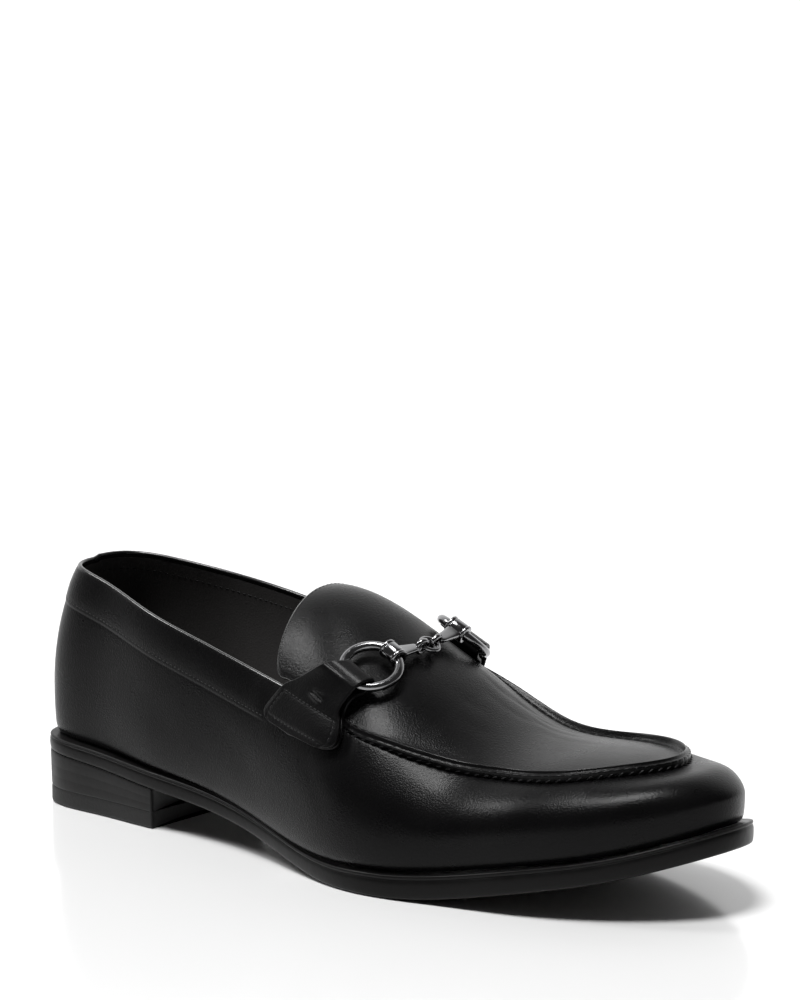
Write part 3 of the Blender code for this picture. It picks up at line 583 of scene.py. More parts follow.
THREAD = leather("black_thread", (0.007, 0.007, 0.0075), 0.5, 0.05, 6000.0, 0.00002,
                 swell=900.0, gloss=0.3)
STEEL = metal("gunmetal", (0.27, 0.27, 0.275), 0.10, 0.000004)


def threads(name, lines, pitch, size, radius, lean=0.0, sink=0.35):
    """Row of stitches along lines of points: each is a short round bead, thin at both ends.

    A bead lies along its line, turned by the lean, and a share of its radius is sunk in.
    """
    rings = 5
    around = 6
    ends = np.linspace(-1, 1, rings)
    girth = np.sqrt(np.clip(1 - ends**4, 0, 1)) * 0.95 + 0.05
    angle = np.linspace(0, 2 * np.pi, around, endpoint=False)
    bead = grid_faces(rings, around, wrap_columns=True, flip=True)
    blocks = []
    faces = []
    start = 0
    for line, normal in lines:
        arc = arc_length(line)
        marks = np.arange(pitch / 2, arc[-1], pitch)
        up = unit(along_line(normal, arc, marks))
        way = along_line(line, arc, marks + 1e-4) - along_line(line, arc, marks - 1e-4)
        way = unit(way - up * (way * up).sum(axis=1, keepdims=True))
        cross = np.cross(up, way)
        way, cross = (way * math.cos(lean) + cross * math.sin(lean),
                      cross * math.cos(lean) - way * math.sin(lean))
        centre = along_line(line, arc, marks) - up * radius * sink
        p = (centre[:, None, None] + way[:, None, None] * (ends * size / 2)[None, :, None, None]
             + cross[:, None, None] * (girth[:, None] * np.cos(angle))[None, ..., None] * radius
             + up[:, None, None] * (girth[:, None] * np.sin(angle))[None, ..., None] * radius)
        blocks.append(p.reshape(-1, 3))
        offsets = start + np.arange(len(marks)) * rings * around
        faces.append((bead[None] + offsets[:, None, None]).reshape(-1, 4))
        start += len(marks) * rings * around
    return finish_mesh(name, np.concatenate(blocks), np.concatenate(faces), THREAD)


# Sections, a column of each skin, round the outer side and back along the inner side
N_BACK = 130
N_FRONT = 330
HEEL_X = -HALF + HEEL_LEDGE
TOE_X = HALF - TOE_LEDGE


def section_places():
    """Places from heel to toe on a half cosine, split where the throat stands."""
    throat = math.acos(1 - 2 * (THROAT_X - HEEL_X) / (TOE_X - HEEL_X)) / math.pi
    shares = np.concatenate([np.linspace(0, throat, N_BACK + 1),
                             np.linspace(throat, 1, N_FRONT + 1)[1:]])
    return HEEL_X + (TOE_X - HEEL_X) * (1 - np.cos(np.pi * shares)) / 2


SECTIONS = section_places()
EDGES = {}
for side in (OUTER, INNER):
    behind = crossing(side, SECTIONS[:N_BACK], over_topline(side))
    ahead = crossing(side, SECTIONS[N_BACK:], inside_apron(side))
    EDGES[side] = np.concatenate([behind, ahead])


def steps_in(near, whole, share, count):
    """Distances along lines of a whole length: the near steps, then even ones to the end.

    The near steps shrink where they would take up more than a share of their line.
    """
    places = near[None] * np.minimum(1, share * whole / near[-1])
    rest = places[:, -1:] + (whole - places[:, -1:]) * np.linspace(0, 1, count)[1:]
    return np.concatenate([places, rest], axis=1)


# Quarters and vamp
TOP_ROWS = np.array([0, .2, .45, .75, 1.1, 1.5, 2, 2.6, 3.3, 4.1, 5, 6, 7, 8, 9, 10, 11, 12,
                     12.8, 13.4, 13.9, 14.2, 14.5, 14.8, 15.2]) * MM
LOWER_ROWS = 31
BAND_STEP = 0.2 * MM
BAND_PUFF = 0.35 * MM
BAND_GROOVE = 0.13 * MM
BAND_THREAD = 12.8 * MM
BAND_GROOVES = (12.6 * MM, 14.2 * MM)
SOLE_TUCK = 0.5 * MM
TOE_FULLNESS = 1.5 * MM
TOE_FULL_TOP = 0.68
# Creases in millimetres: from and to, each ahead of the middle and below the top edge, then
# width and height
LATERAL_FOLDS = (
    (34, 12, 62, 17, 2.8, -0.06), (40, 20, 66, 26, 3.4, -0.06), (24, 24, 52, 32, 4.0, -0.08),
    (50, 8, 72, 12, 2.4, -0.05), (-6, 22, 20, 36, 5.5, -0.12), (-62, 26, -20, 38, 7.0, -0.16),
    (-108, 30, -66, 42, 8.0, -0.14))
MEDIAL_FOLDS = (
    (30, 9, 60, 17, 2.8, -0.14), (36, 16, 64, 25, 3.2, -0.12), (24, 22, 52, 31, 3.6, -0.12),
    (52, 7, 76, 12, 2.4, -0.08), (-4, 20, 20, 34, 5.0, -0.15), (-60, 26, -20, 40, 7.0, -0.16))


def quarter_side(side):
    """Columns of one side from its top edge to the sole, with distances from both."""
    edge = EDGES[side][:, None]
    lines = section(side, SECTIONS, edge + (-1 - edge) * np.linspace(0, 1, 150))
    whole = lengths(lines)[:, None]
    places = steps_in(TOP_ROWS, whole, 0.5, LOWER_ROWS)
    return spread(lines, places), places, whole - places, SECTIONS, np.full(len(SECTIONS), side)


def both_sides(build):
    """Columns of the outer side from heel to toe, then of the inner side back to the heel."""
    return [np.concatenate([a, b[-2:0:-1]]) for a, b in zip(build(OUTER), build(INNER))]


ring, from_top, from_sole, ring_x, ring_side = both_sides(quarter_side)
ring_normal = grid_normals(ring, True, True)
AHEAD = smooth(ring_x, THROAT_X - 9 * MM, THROAT_X - 1 * MM)


def collar_relief():
    """Collar band: a low step with a puffed middle, and grooves for its stitches and edge."""
    band = (1 - smooth(ring_x, TONGUE_END, TONGUE_END + 8 * MM))[:, None]
    height = BAND_STEP * (1 - smooth(from_top, COLLAR_DEPTH - 0.3 * MM, COLLAR_DEPTH + 0.15 * MM))
    height += BAND_PUFF * np.sin(np.pi * np.clip(from_top / COLLAR_DEPTH, 0, 1))
    for groove in BAND_GROOVES:
        height -= BAND_GROOVE * bell(from_top - groove, 0.5 * MM)
    return band * height


def wall_relief():
    """Creases, the tuck at the sole, and a full toe: a squared sine between seam and sole."""
    folds = np.where(ring_side[:, None] == OUTER, strokes(ring[..., 0], from_top, LATERAL_FOLDS),
                     strokes(ring[..., 0], from_top, MEDIAL_FOLDS))
    height = folds * smooth(from_sole, 2 * MM, 12 * MM) - SOLE_TUCK * bell(from_sole, 1.6 * MM)
    toe = TOE_FULLNESS * smooth(ring[..., 0], 108 * MM, 138 * MM)
    down = from_top / (from_top + from_sole)
    return height + toe * np.sin(np.pi * np.clip(down / TOE_FULL_TOP, 0, 1))**2


# Apron and tongue: columns from the seam and from the tongue's free edge, in to the ridge
BEAD = ROLL["inward"] * MM
IN_ROWS = 28
STITCH_PITCH = 3.6 * MM
TONGUE_WAIST = 0.13
TONGUE_THIN = 0.25 * MM
# Creases in millimetres: from and to, each ahead of the middle and to the inner side, then
# width and height
INSTEP_FOLDS = (
    (22, 17, 46, 23, 1.8, -0.12), (28, 12, 56, 17, 1.6, -0.13), (36, 15, 66, 20, 1.2, -0.12),
    (42, 19, 70, 24, 1.0, -0.10), (46, 14, 78, 18, 1.1, -0.12), (54, 20, 82, 23, 0.9, -0.09),
    (50, 10, 84, 13, 1.3, -0.10), (60, 16, 90, 19, 1.0, -0.08), (34, 4, 64, 9, 2.2, -0.10),
    (30, -8, 52, -5, 3.0, -0.08), (40, -17, 60, -13, 3.0, -0.07), (58, 4, 94, 7, 2.0, -0.07),
    (12, -18, 30, -24, 4.0, -0.10), (68, 21, 96, 21, 1.0, -0.07))


def seam_side(side):
    """Columns of the apron along one side of the seam, from the throat to the toe."""
    edge = EDGES[side][N_BACK:, None]
    lines = section(side, SECTIONS[N_BACK:], edge + (1 - edge) * np.linspace(0, 1, 150))
    places = steps_in(BEAD, lengths(lines)[:, None], 0.7, IN_ROWS)
    return spread(lines, places), places


def lowered(px, py):
    """Tongue's surface over points seen from above, let down towards its end.

    It takes away the drop times the square of the share of the way from the throat to the
    end, times one less the square of the share of the way out from the ridge.
    """
    flat_x = px.ravel()
    flat_y = py.ravel()
    ridge = RIDGE_SIDE(flat_x)
    height = np.zeros(len(flat_x))
    for side in (OUTER, INNER):
        mine = (flat_y > ridge) if side == INNER else (flat_y <= ridge)

        def beyond(p, side=side, mine=mine):
            return side * (flat_y[mine] - p[:, 1])
        turn = crossing(side, flat_x[mine], beyond)
        height[mine] = section(side, flat_x[mine], turn[:, None])[:, 0, 2]
    root = np.where(flat_y > ridge, rim_half(INNER, THROAT_X), rim_half(OUTER, THROAT_X))
    t = (flat_y - ridge) / (root * 0.9)
    fall = ((THROAT_X - flat_x) / (THROAT_X - TONGUE_END))**2
    height -= TONGUE_DROP * fall * np.maximum(1 - t * t, 0)
    return np.stack([flat_x, flat_y, height], -1).reshape(px.shape + (3,))


def tongue_side(side):
    """Columns of the tongue on one side, from the throat to the middle of its end."""
    reach = TONGUE_ROUND * BALL_WIDTH
    bends = np.radians(90) * (1 - np.linspace(0, 1, 61))**1.5
    straight = np.linspace(THROAT_X, TONGUE_END + reach, 26)[1:-1]
    px = np.concatenate([straight, TONGUE_END + reach * (1 - np.cos(bends)**(2 / TONGUE_POWER))])
    root = rim_half(side, THROAT_X)
    root = root * (1 - TONGUE_WAIST * np.clip((THROAT_X - px) / (22 * MM), 0, 1))
    half = root * closing(px - TONGUE_END, reach, TONGUE_POWER)
    start = np.stack([px, side * half], -1)
    start[-1, 1] = RIDGE_SIDE(px[-1])
    share = (THROAT_X - px) / (THROAT_X - TONGUE_END)
    ridge_x = THROAT_X + (TONGUE_END + 10 * MM - THROAT_X) * share
    goal = np.stack([ridge_x, RIDGE_SIDE(ridge_x)], -1)
    whole = np.linalg.norm(goal - start, axis=1)[:, None]
    places = steps_in(BEAD, whole, 0.6, IN_ROWS)
    flat = start[:, None] + (goal - start)[:, None] * (places / whole)[..., None]
    return lowered(flat[..., 0], flat[..., 1]), places


outer_seam, outer_in = seam_side(OUTER)
inner_seam, inner_in = seam_side(INNER)
outer_tongue, outer_free = tongue_side(OUTER)
inner_tongue, inner_free = tongue_side(INNER)
apron = np.concatenate([outer_seam, inner_seam[-2::-1], inner_tongue, outer_tongue[-2::-1]])
inward = np.concatenate([outer_in, inner_in[-2::-1], inner_free, outer_free[-2::-1]])
apron_normal = grid_normals(apron, True, False)
N_SEAM = len(outer_seam) + len(inner_seam) - 1
on_seam = np.arange(len(apron)) < N_SEAM
column_x = apron[:, 0, 0]
shown = 0.45 * smooth(column_x, THROAT_X + 8 * MM, THROAT_X + 16 * MM)
shown = (shown + 0.55 * smooth(column_x, THROAT_X + 12 * MM, THROAT_X + 42 * MM)) * on_seam
seam_arc = np.concatenate([arc_length(apron[:N_SEAM, 0]), np.zeros(len(apron) - N_SEAM)])


def stitch_pull(arc):
    """Pull of the stitches along the seam: the cube of a raised cosine."""
    return (0.5 + 0.5 * np.cos(2 * np.pi * arc / STITCH_PITCH))**3


def apron_relief():
    """Raised seam where it shows, pulled in at its stitches, a thin free edge and creases."""
    height = np.interp(inward, BEAD, ROLL["height"] * MM) * shown[:, None]
    pull = (stitch_pull(seam_arc) * shown)[:, None]
    height -= 0.30 * MM * pull * bell(inward - 0.25 * MM, 0.5 * MM)
    height -= 0.10 * MM * pull * bell(inward - 3.2 * MM, 0.4 * MM)
    free = (1 - on_seam)[:, None]
    height -= free * TONGUE_THIN * (1 - smooth(inward, 0, 0.9 * MM))
    folds = strokes(apron[..., 0], apron[..., 1], INSTEP_FOLDS)
    return height + folds * smooth(inward, 6 * MM, 12 * MM)


def seam_dip():
    """Dip of the vamp along the seam, deeper at each stitch."""
    arc = np.zeros(len(ring))
    share = np.zeros(len(ring))
    front = np.arange(N_BACK, N_BACK + N_FRONT + 1)
    mirror = len(ring) - np.arange(N_BACK, N_BACK + N_FRONT)[::-1]
    order = np.concatenate([front, mirror])
    arc[order] = seam_arc[:len(order)]
    share[order] = shown[:len(order)]
    pull = (stitch_pull(arc) * share)[:, None]
    return (0.22 * MM * share[:, None] * bell(from_top, 0.7 * MM)
            + 0.30 * MM * pull * bell(from_top, 1.0 * MM))


quarter_relief = collar_relief() + wall_relief() - seam_dip()
quarter_skin = ring + ring_normal * quarter_relief[..., None]
apron_skin = apron + apron_normal * apron_relief()[..., None]

COLLAR_FOLD = 0.85 * MM
TONGUE_FOLD = 0.95 * MM
TUCK_DEPTH = 1.8 * MM


def turned_edge(skin, normal, radius, tail, tuck):
    """Rows before a skin's first row: half a circle rolled inside, then a straight tail.

    Where tuck is 1 the rows go straight in under the neighbouring piece instead.
    """
    n = normal[:, 0]
    up = skin[:, 0] - skin[:, 2]
    up = unit(up - n * (up * n).sum(axis=1, keepdims=True))
    rows = []
    for angle in np.linspace(0, np.pi, 9)[1:]:
        rolled = skin[:, 0] + n * radius * (math.cos(angle) - 1) + up * radius * math.sin(angle)
        tucked = skin[:, 0] - n * (angle / np.pi) * TUCK_DEPTH
        rows.append(rolled * (1 - tuck) + tucked * tuck)
    last = rows[-1]
    for share in (0.5, 1.0):
        rows.append(last - up * (1 - tuck) * tail * share - n * tuck * 0.3 * MM * share)
    return np.stack(rows[::-1], axis=1)


def with_edge(fold, skin, free, edge_rub):
    """A skin with its turned edge before it, and how far each point of both is rubbed."""
    folded = np.repeat(free[:, None], fold.shape[1], 1)
    return np.concatenate([fold, skin], axis=1), np.concatenate([folded, edge_rub], axis=1)


def build_quarters():
    """Quarters and vamp, rubbed along the top edge of the collar."""
    free = 1 - AHEAD
    fold = turned_edge(quarter_skin, ring_normal, COLLAR_FOLD, 3.0 * MM, AHEAD[:, None])
    skin, rub = with_edge(fold, quarter_skin, free, bell(from_top, 0.5 * MM) * free[:, None])
    faces = grid_faces(*skin.shape[:2], wrap_rows=True, flip=True)
    piece = finish_mesh("quarters_and_vamp", skin, faces, BLACK, rub=rub)
    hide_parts("upper")


def build_apron():
    """Apron and tongue, rubbed along the tongue's edge and the two ridges of the seam."""
    tuck = np.where(on_seam, 1.0, 0.0)
    fold = turned_edge(apron_skin, apron_normal, TONGUE_FOLD, 5.0 * MM, tuck[:, None])
    ridges = bell(inward - 2.32 * MM, 0.22 * MM) + 0.5 * bell(inward - 0.5 * MM, 0.16 * MM)
    rub = bell(inward, 0.8 * MM) * (1 - tuck[:, None]) + 0.45 * ridges * shown[:, None]
    skin, rub = with_edge(fold, apron_skin, 1 - tuck, rub)
    faces = grid_faces(*skin.shape[:2], wrap_rows=True)
    piece = finish_mesh("apron_and_tongue", skin, faces, BLACK, weld=True, rub=rub)
    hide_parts("upper")


build_quarters()
build_apron()

# Linings, inside the outer leather from a few rows below its edge
LINING_ROW = 3
QUARTER_DEPTH = 2.15 * MM
APRON_DEPTH = 2.0 * MM
quarter_lining = ring - ring_normal * QUARTER_DEPTH
apron_lining = apron - apron_normal * APRON_DEPTH
inside = quarter_lining[:, LINING_ROW:]
finish_mesh("lining_quarters", inside, grid_faces(*inside.shape[:2], wrap_rows=True),
            LINING)
inside = apron_lining[:, LINING_ROW:]
finish_mesh("lining_apron", inside, grid_faces(*inside.shape[:2], wrap_rows=True, flip=True),
            LINING, weld=True)


# Rows of stitches
def ring_lines(skin, normal, distance, front_x):
    """Line along each side at a distance below the top edge, from the heel to a place."""
    row = int(np.argmin(np.abs(from_top[3] - distance)))
    lines = []
    for side in (OUTER, INNER):
        pick = np.flatnonzero((ring_x < front_x) & (ring_side == side))
        pick = pick[np.argsort(ring_x[pick])]
        lines.append((skin[pick, row], normal[pick, row]))
    return lines


def bead_row(distance):
    """Row of the apron nearest to a distance in from its edge."""
    return int(np.argmin(np.abs(BEAD - distance)))


lines = ring_lines(quarter_skin, ring_normal, BAND_THREAD, TONGUE_END + 6 * MM)
threads("collar_stitches", lines, 2.1 * MM, 1.5 * MM, 0.24 * MM)
lines = ring_lines(quarter_lining, -ring_normal, 6.0 * MM, THROAT_X - 2 * MM)
threads("lining_stitches", lines, 2.5 * MM, 1.8 * MM, 0.24 * MM)
row = bead_row(1.5 * MM)
edge_line = apron_skin[N_SEAM + 6:-6, row], apron_normal[N_SEAM + 6:-6, row]
threads("tongue_stitches", [edge_line], 2.2 * MM, 1.6 * MM, 0.22 * MM)
use = np.flatnonzero(shown > 0.3)
row = bead_row(3.0 * MM)
inner_line = apron_skin[use, row], apron_normal[use, row]
threads("roll_stitches", [inner_line], STITCH_PITCH, 2.1 * MM, 0.30 * MM)
base = apron_skin[use, 1] * 0.6 + apron[use, 0] * 0.4
lean_up = apron_normal[use, 0] * 0.6 - unit(apron[use, 4] - apron[use, 0]) * 0.8
threads("seam_stitches", [(base, lean_up)], STITCH_PITCH, 2.5 * MM, 0.36 * MM, lean=0.45, sink=0.2)


# Sole
def stations(start, end, count):
    """Places between two ends of the shoe, closer together near both ends."""
    share = (1 - np.cos(np.pi * np.linspace(0, 1, count + 1))) / 2
    return start + (end - start) * share


def sole_loops(levels, count):
    """Outlines of the sole, stacked by inset and by share of the sole's edge."""
    loops = []
    for inset, share in levels:
        inset = inset * MM
        x = stations(-HALF + inset, HALF - inset, count)
        z = under(x) + EDGE(x) * share
        outer = np.stack([x, -outline(OUTER, x, inset, inset, inset), z], -1)
        inner = np.stack([x, outline(INNER, x, inset, inset, inset), z], -1)
        loops.append(np.concatenate([outer, inner[-2:0:-1]]))
    return np.stack(loops)


def across_sole(x, back, front, inset, share):
    """Grid from the outer to the inner outline: places along and across, and from the rim."""
    left = -outline(OUTER, x, back, front, inset)
    wide = (outline(INNER, x, back, front, inset) - left)[:, None]
    across = left[:, None] + wide * share
    return np.broadcast_to(x[:, None], across.shape), across, np.minimum(share, 1 - share) * wide


# Sole's side from its underside to the seat of the upper: inset in millimetres and height as a
# share of the edge, with a rim line near the top
SOLE_LEVELS = (
    (9.0, 0.0), (3.0, 0.0), (1.5, 0.0), (0.8, 0.015), (0.4, 0.05), (0.2, 0.12), (0.07, 0.26),
    (0.0, 0.45), (0.02, 0.6), (0.10, 0.72), (0.30, 0.785), (0.55, 0.81), (0.42, 0.835),
    (0.22, 0.87), (0.18, 0.92), (0.32, 0.965), (0.7, 0.995), (1.1, 1.0), (4.0, 1.0), (12.0, 1.0))
FLOOR_INSET = 3 * MM
SEAM_CHANNEL = 5 * MM


def build_sole():
    """Sole's edge, and its underside with a stitching channel parallel to the rim."""
    edge = sole_loops(SOLE_LEVELS, 150)
    piece = finish_mesh("sole_edge", edge, grid_faces(*edge.shape[:2], wrap_columns=True, flip=True),
                        EDGE_LOOK)
    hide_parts("outsole")
    x = stations(-HALF + FLOOR_INSET, HALF - FLOOR_INSET, 150)
    x, across, rim = across_sole(x, FLOOR_INSET, FLOOR_INSET, FLOOR_INSET, np.linspace(0, 1, 41))
    dent = 0.35 * MM * bell(rim - SEAM_CHANNEL, 0.6 * MM)
    tread = np.stack([x, across, under(x) + 0.02 * MM + dent], -1)
    piece = finish_mesh("sole_floor", tread, grid_faces(*tread.shape[:2], flip=True),
                        FLOOR_LEATHER)
    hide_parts("outsole")


build_sole()


# Heel: insets in millimetres at shares of the height, with a groove between the lifts
HEEL_SIDE_INSET = 0.45 * MM
HEEL_FLARE = 0.25 * MM
STACK_LEVELS = (
    (0.0, 0.4), (0.015, 0.2), (0.04, 0.05), (0.08, 0.0), (0.31, 0.0), (0.325, 0.018), (0.34, 0.0),
    (0.61, 0.0), (0.625, 0.018), (0.64, 0.0), (0.95, 0.0), (0.98, 0.06), (1.0, 0.3))
LIFT_LEVELS = (
    (0.0, 0.55), (0.03, 0.3), (0.08, 0.12), (0.16, 0.02), (0.3, 0.0), (0.8, 0.0), (0.92, 0.03),
    (0.97, 0.14), (1.0, 0.4))
CORNER_POINTS = 6


def seat(x):
    """Underside of the sole over the heel."""
    return under(x) - 0.02 * MM


def lift_top(x):
    """Top of the top lift."""
    return 0 * x + TOP_LIFT


def ground(x):
    """The floor."""
    return 0 * x


def heel_loop(inset, height, share):
    """Outline of the heel with a hollowed front, at a share between two height lines."""
    breast = -HALF + HEEL_LENGTH
    whole = breast - BREAST_HOLLOW - 3 * MM + HALF - inset
    back = -HALF + inset + whole * np.sin(np.linspace(0, np.pi / 2, 61))**2
    back = np.append(back, breast - np.array([5, 3, 1.6, 0.7, 0.15]) * MM)
    outer = np.stack([back, -outline(OUTER, back, inset, 0.0, inset)], -1)
    inner = np.stack([back, outline(INNER, back, inset, 0.0, inset)], -1)[:0:-1]
    corner = 0.5 * MM
    t = np.linspace(-1, 1, 35)
    y = outer[-1, 1] + corner + (inner[0, 1] - outer[-1, 1] - 2 * corner) * (t + 1) / 2
    front = np.stack([breast - BREAST_HOLLOW * (1 - t * t), y], -1)
    flat = np.concatenate([outer, front, inner])
    low, high = height
    z = low(flat[:, 0]) * (1 - share) + high(flat[:, 0]) * share
    return np.column_stack([flat, z]), len(outer)


def cap_faces(first, count, side):
    """Faces that close an outline: across from side to side, then over the hollowed front."""
    i = np.arange(1, side - CORNER_POINTS)
    faces = [np.stack([i, i + 1, count - i - 1, count - i], -1)]
    chain = np.arange(side - CORNER_POINTS, count - side + CORNER_POINTS + 2)
    j = np.arange((len(chain) - 2) // 2)
    faces.append(np.stack([chain[j], chain[j + 1], chain[-j - 2], chain[-j - 1]], -1))
    return first + np.concatenate(faces)


def heel_piece(name, levels, height, look):
    """Heel piece as stacked outlines, closed below and above."""
    loops = []
    for inset, share in levels:
        loop, side = heel_loop(inset, height, share)
        loops.append(loop)
    count = len(loop)
    walls = grid_faces(len(loops), count, wrap_columns=True, flip=True)
    below = cap_faces(0, count, side)
    above = cap_faces((len(loops) - 1) * count, count, side)[:, ::-1]
    faces = np.concatenate([walls, below, above])
    return finish_mesh(name, np.stack(loops), faces, look)


levels = [(HEEL_SIDE_INSET - HEEL_FLARE * share + more * MM, share) for share, more in STACK_LEVELS]
piece = heel_piece("heel_stack", levels, (lift_top, seat), HEEL_LOOK)
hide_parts("heel_block")
levels = [(HEEL_SIDE_INSET + more * MM, share) for share, more in LIFT_LEVELS]
piece = heel_piece("heel_top_lift", levels, (ground, lift_top), LIFT_LOOK)
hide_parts("top_lift")


def build_sock():
    """Sock inside the upper, thinner at its rim and cupped up towards the walls."""
    gap = LEATHER + 0.4 * MM
    x = stations(HEEL_X + gap, TOE_X - gap, 110)
    share = np.sin(np.linspace(-np.pi / 2, np.pi / 2, 41)) / 2 + 0.5
    x, across, rim = across_sole(x, HEEL_LEDGE + gap, TOE_LEDGE + gap, LEDGE(x) + gap, share)
    cup = SOCK * (0.55 + 0.45 * smooth(rim, 0, 1.2 * MM)) + 0.9 * MM * (1 - smooth(rim, 0, 14 * MM))
    sock = np.stack([x, across, deck(x) + CLEARANCE + cup], -1)
    piece = finish_mesh("sock", sock, grid_faces(*sock.shape[:2]), SOCK_LOOK)
    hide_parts("insole")


build_sock()


# Bit
def surface(side, x, girth):
    """Point and outward normal on the last, a girth's distance down from the ridge."""
    def place(px, way):
        line = section(side, np.array([px]), np.linspace(1, -0.9, 160)[None])
        return spread(line, np.array([[way]]))[0, 0]
    step = 0.8 * MM
    along = place(x + step, girth) - place(x - step, girth)
    down = place(x, girth + step) - place(x, max(girth - step, 0.0))
    return place(x, girth), unit(np.cross(down, along) * -side)


def bit_places():
    """Centres, normals and girths of the link and the two rings, each a reach from the link."""
    middle = (BIT_ALONG - 0.5) * SHOE_LENGTH
    foot, up = surface(OUTER, middle, BIT_SIDE)
    link = foot + up * LINK_LIFT
    places = {"link": (link, up)}
    for side in (OUTER, INNER):
        low = 10 * MM
        high = 60 * MM
        for _ in range(26):
            girth = (low + high) / 2
            foot, normal = surface(side, middle - BIT_SAG, girth)
            centre = foot + normal * BIT_LIFT
            if np.linalg.norm(centre - link) < BIT_REACH:
                low = girth
            else:
                high = girth
        places[side] = (centre, normal, girth)
    return places


def square_to(axis):
    """Two directions square to an axis and to each other."""
    a = unit(np.cross(axis, (0.0, 0.0, 1.0) if abs(axis[2]) < 0.9 else (1.0, 0.0, 0.0)))
    return a, np.cross(axis, a)


def torus(centre, axis, major, minor, around, tube, flat=1.0):
    """Ring of wire: a circle carried round a circle, flattened along the axis by a share."""
    a, b = square_to(axis)
    t = np.linspace(0, 2 * np.pi, around, endpoint=False)[:, None, None]
    s = np.linspace(0, 2 * np.pi, tube, endpoint=False)[None, :, None]
    out = a * np.cos(t) + b * np.sin(t)
    points = centre + out * (major + minor * np.cos(s)) + axis * minor * flat * np.sin(s)
    return points.reshape(-1, 3), grid_faces(around, tube, True, True)


def lathe(centre, axis, rows, around=48):
    """Turned piece: circles along an axis, from rows of distance along it and radius."""
    a, b = square_to(axis)
    rows = np.array(rows)
    t = np.linspace(0, 2 * np.pi, around, endpoint=False)[None, :, None]
    points = centre + axis * rows[:, :1, None] + (a * np.cos(t) + b * np.sin(t)) * rows[:, 1:, None]
    return points.reshape(-1, 3), grid_faces(len(rows), around, False, True, flip=True)


def blade(start, axis, cross, top, rows, around=32):
    """Flared bar: rounded oblongs along an axis, from distance, half width and half thickness."""
    t = np.linspace(0, 2 * np.pi, around, endpoint=False)
    c = np.sign(np.cos(t)) * np.abs(np.cos(t))**0.55
    s = np.sign(np.sin(t)) * np.abs(np.sin(t))**0.7
    rows = np.array(rows)
    points = (start + axis * rows[:, :1, None] + cross * (rows[:, 1:2] * c)[..., None]
              + top * (rows[:, 2:3] * s)[..., None])
    return points.reshape(-1, 3), grid_faces(len(rows), around, False, True, flip=True)


def joined(name, shapes):
    """One piece of the bit from several closed shapes."""
    points = []
    faces = []
    start = 0
    for p, f in shapes:
        points.append(p)
        faces.append(f + start)
        start += len(p)
    return finish_mesh(name, np.concatenate(points), np.concatenate(faces), STEEL)


# Barrel from its middle to its end: shares of its half length and of its radius
BARREL = ((0.50, 0.97), (0.57, 0.955), (0.62, 0.90), (0.66, 0.90), (0.69, 0.965), (0.74, 1.0),
          (0.90, 1.0), (0.97, 0.93), (1.0, 0.82), (1.0, 0.55))
# Bar from its barrel to its eye: share of the way, and of the barrel's and the bar's half sizes
FLARE = ((0.10, 0.86, 1.6), (0.22, 0.84, 1.55), (0.30, 0.78, 1.35), (0.38, 0.72, 1.2),
         (0.48, 0.66, 1.12), (0.60, 0.61, 1.05), (0.72, 0.57, 1.0), (0.84, 0.53, 0.98),
         (0.93, 0.49, 0.95), (1.0, 0.40, 0.85), (1.03, 0.2, 0.6))
EYE_PLAY = 0.45 * MM
PLACES = bit_places()
LINK, LINK_UP = PLACES["link"]
WIRE = (RING_OUTER - RING_WIRE) / 2
EYE = (EYE_OUTER - EYE_WIRE) / 2
SIDE_NAMES = {OUTER: "lateral", INNER: "medial"}


def build_ring_and_bar(side):
    """Ring on its side, and a bar from a barrel on its wire to an eye on the link."""
    name = SIDE_NAMES[side]
    centre, normal, _ = PLACES[side]
    to_link = LINK - centre
    to_link = unit(to_link - normal * np.dot(to_link, normal))
    piece = joined("ring_" + name, [torus(centre, normal, WIRE, RING_WIRE / 2, 144, 28)])
    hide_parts("bit_ring_" + name)
    grip = centre + to_link * WIRE
    eye = LINK + unit(grip - LINK) * ((LINK_OUTER - LINK_WIRE) / 2 + EYE_PLAY)
    axis = unit(eye - grip)
    tangent = np.cross(normal, to_link)
    cross = unit(tangent - axis * np.dot(tangent, axis))
    half = BARREL_LENGTH / 2
    ends = np.array(BARREL) * (half, BARREL_OUTER / 2)
    turned = np.concatenate([ends[::-1] * (-1, 1), ends])
    whole = np.linalg.norm(eye - grip) - EYE
    flare = np.array(FLARE) * (whole, half, BAR_THICK / 2)
    piece = joined("bar_" + name, [
        lathe(grip, cross, turned), blade(grip, axis, cross, np.cross(cross, axis), flare),
        torus(eye, cross, EYE, EYE_WIRE / 2, 64, 18, 1.15)])
    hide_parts("bit_bar_" + name)


build_ring_and_bar(OUTER)
build_ring_and_bar(INNER)
piece = joined("link", [torus(LINK, LINK_UP, (LINK_OUTER - LINK_WIRE) / 2, LINK_WIRE / 2, 72, 20)])
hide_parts("bit_link")

# Leather tabs
TAB_LEAN = math.radians(14.5)
TAB_ROWS = 170
TAB_COLUMNS = 61
TAB_CORNER = 5.0 * MM
BOX_INSET = 2.4 * MM
BOX_TOP = 12.5 * MM
BOX_START = 4.5 * MM
SLIT_PLACE = 17.0 * MM
SLIT_REACH = 3.3 * MM


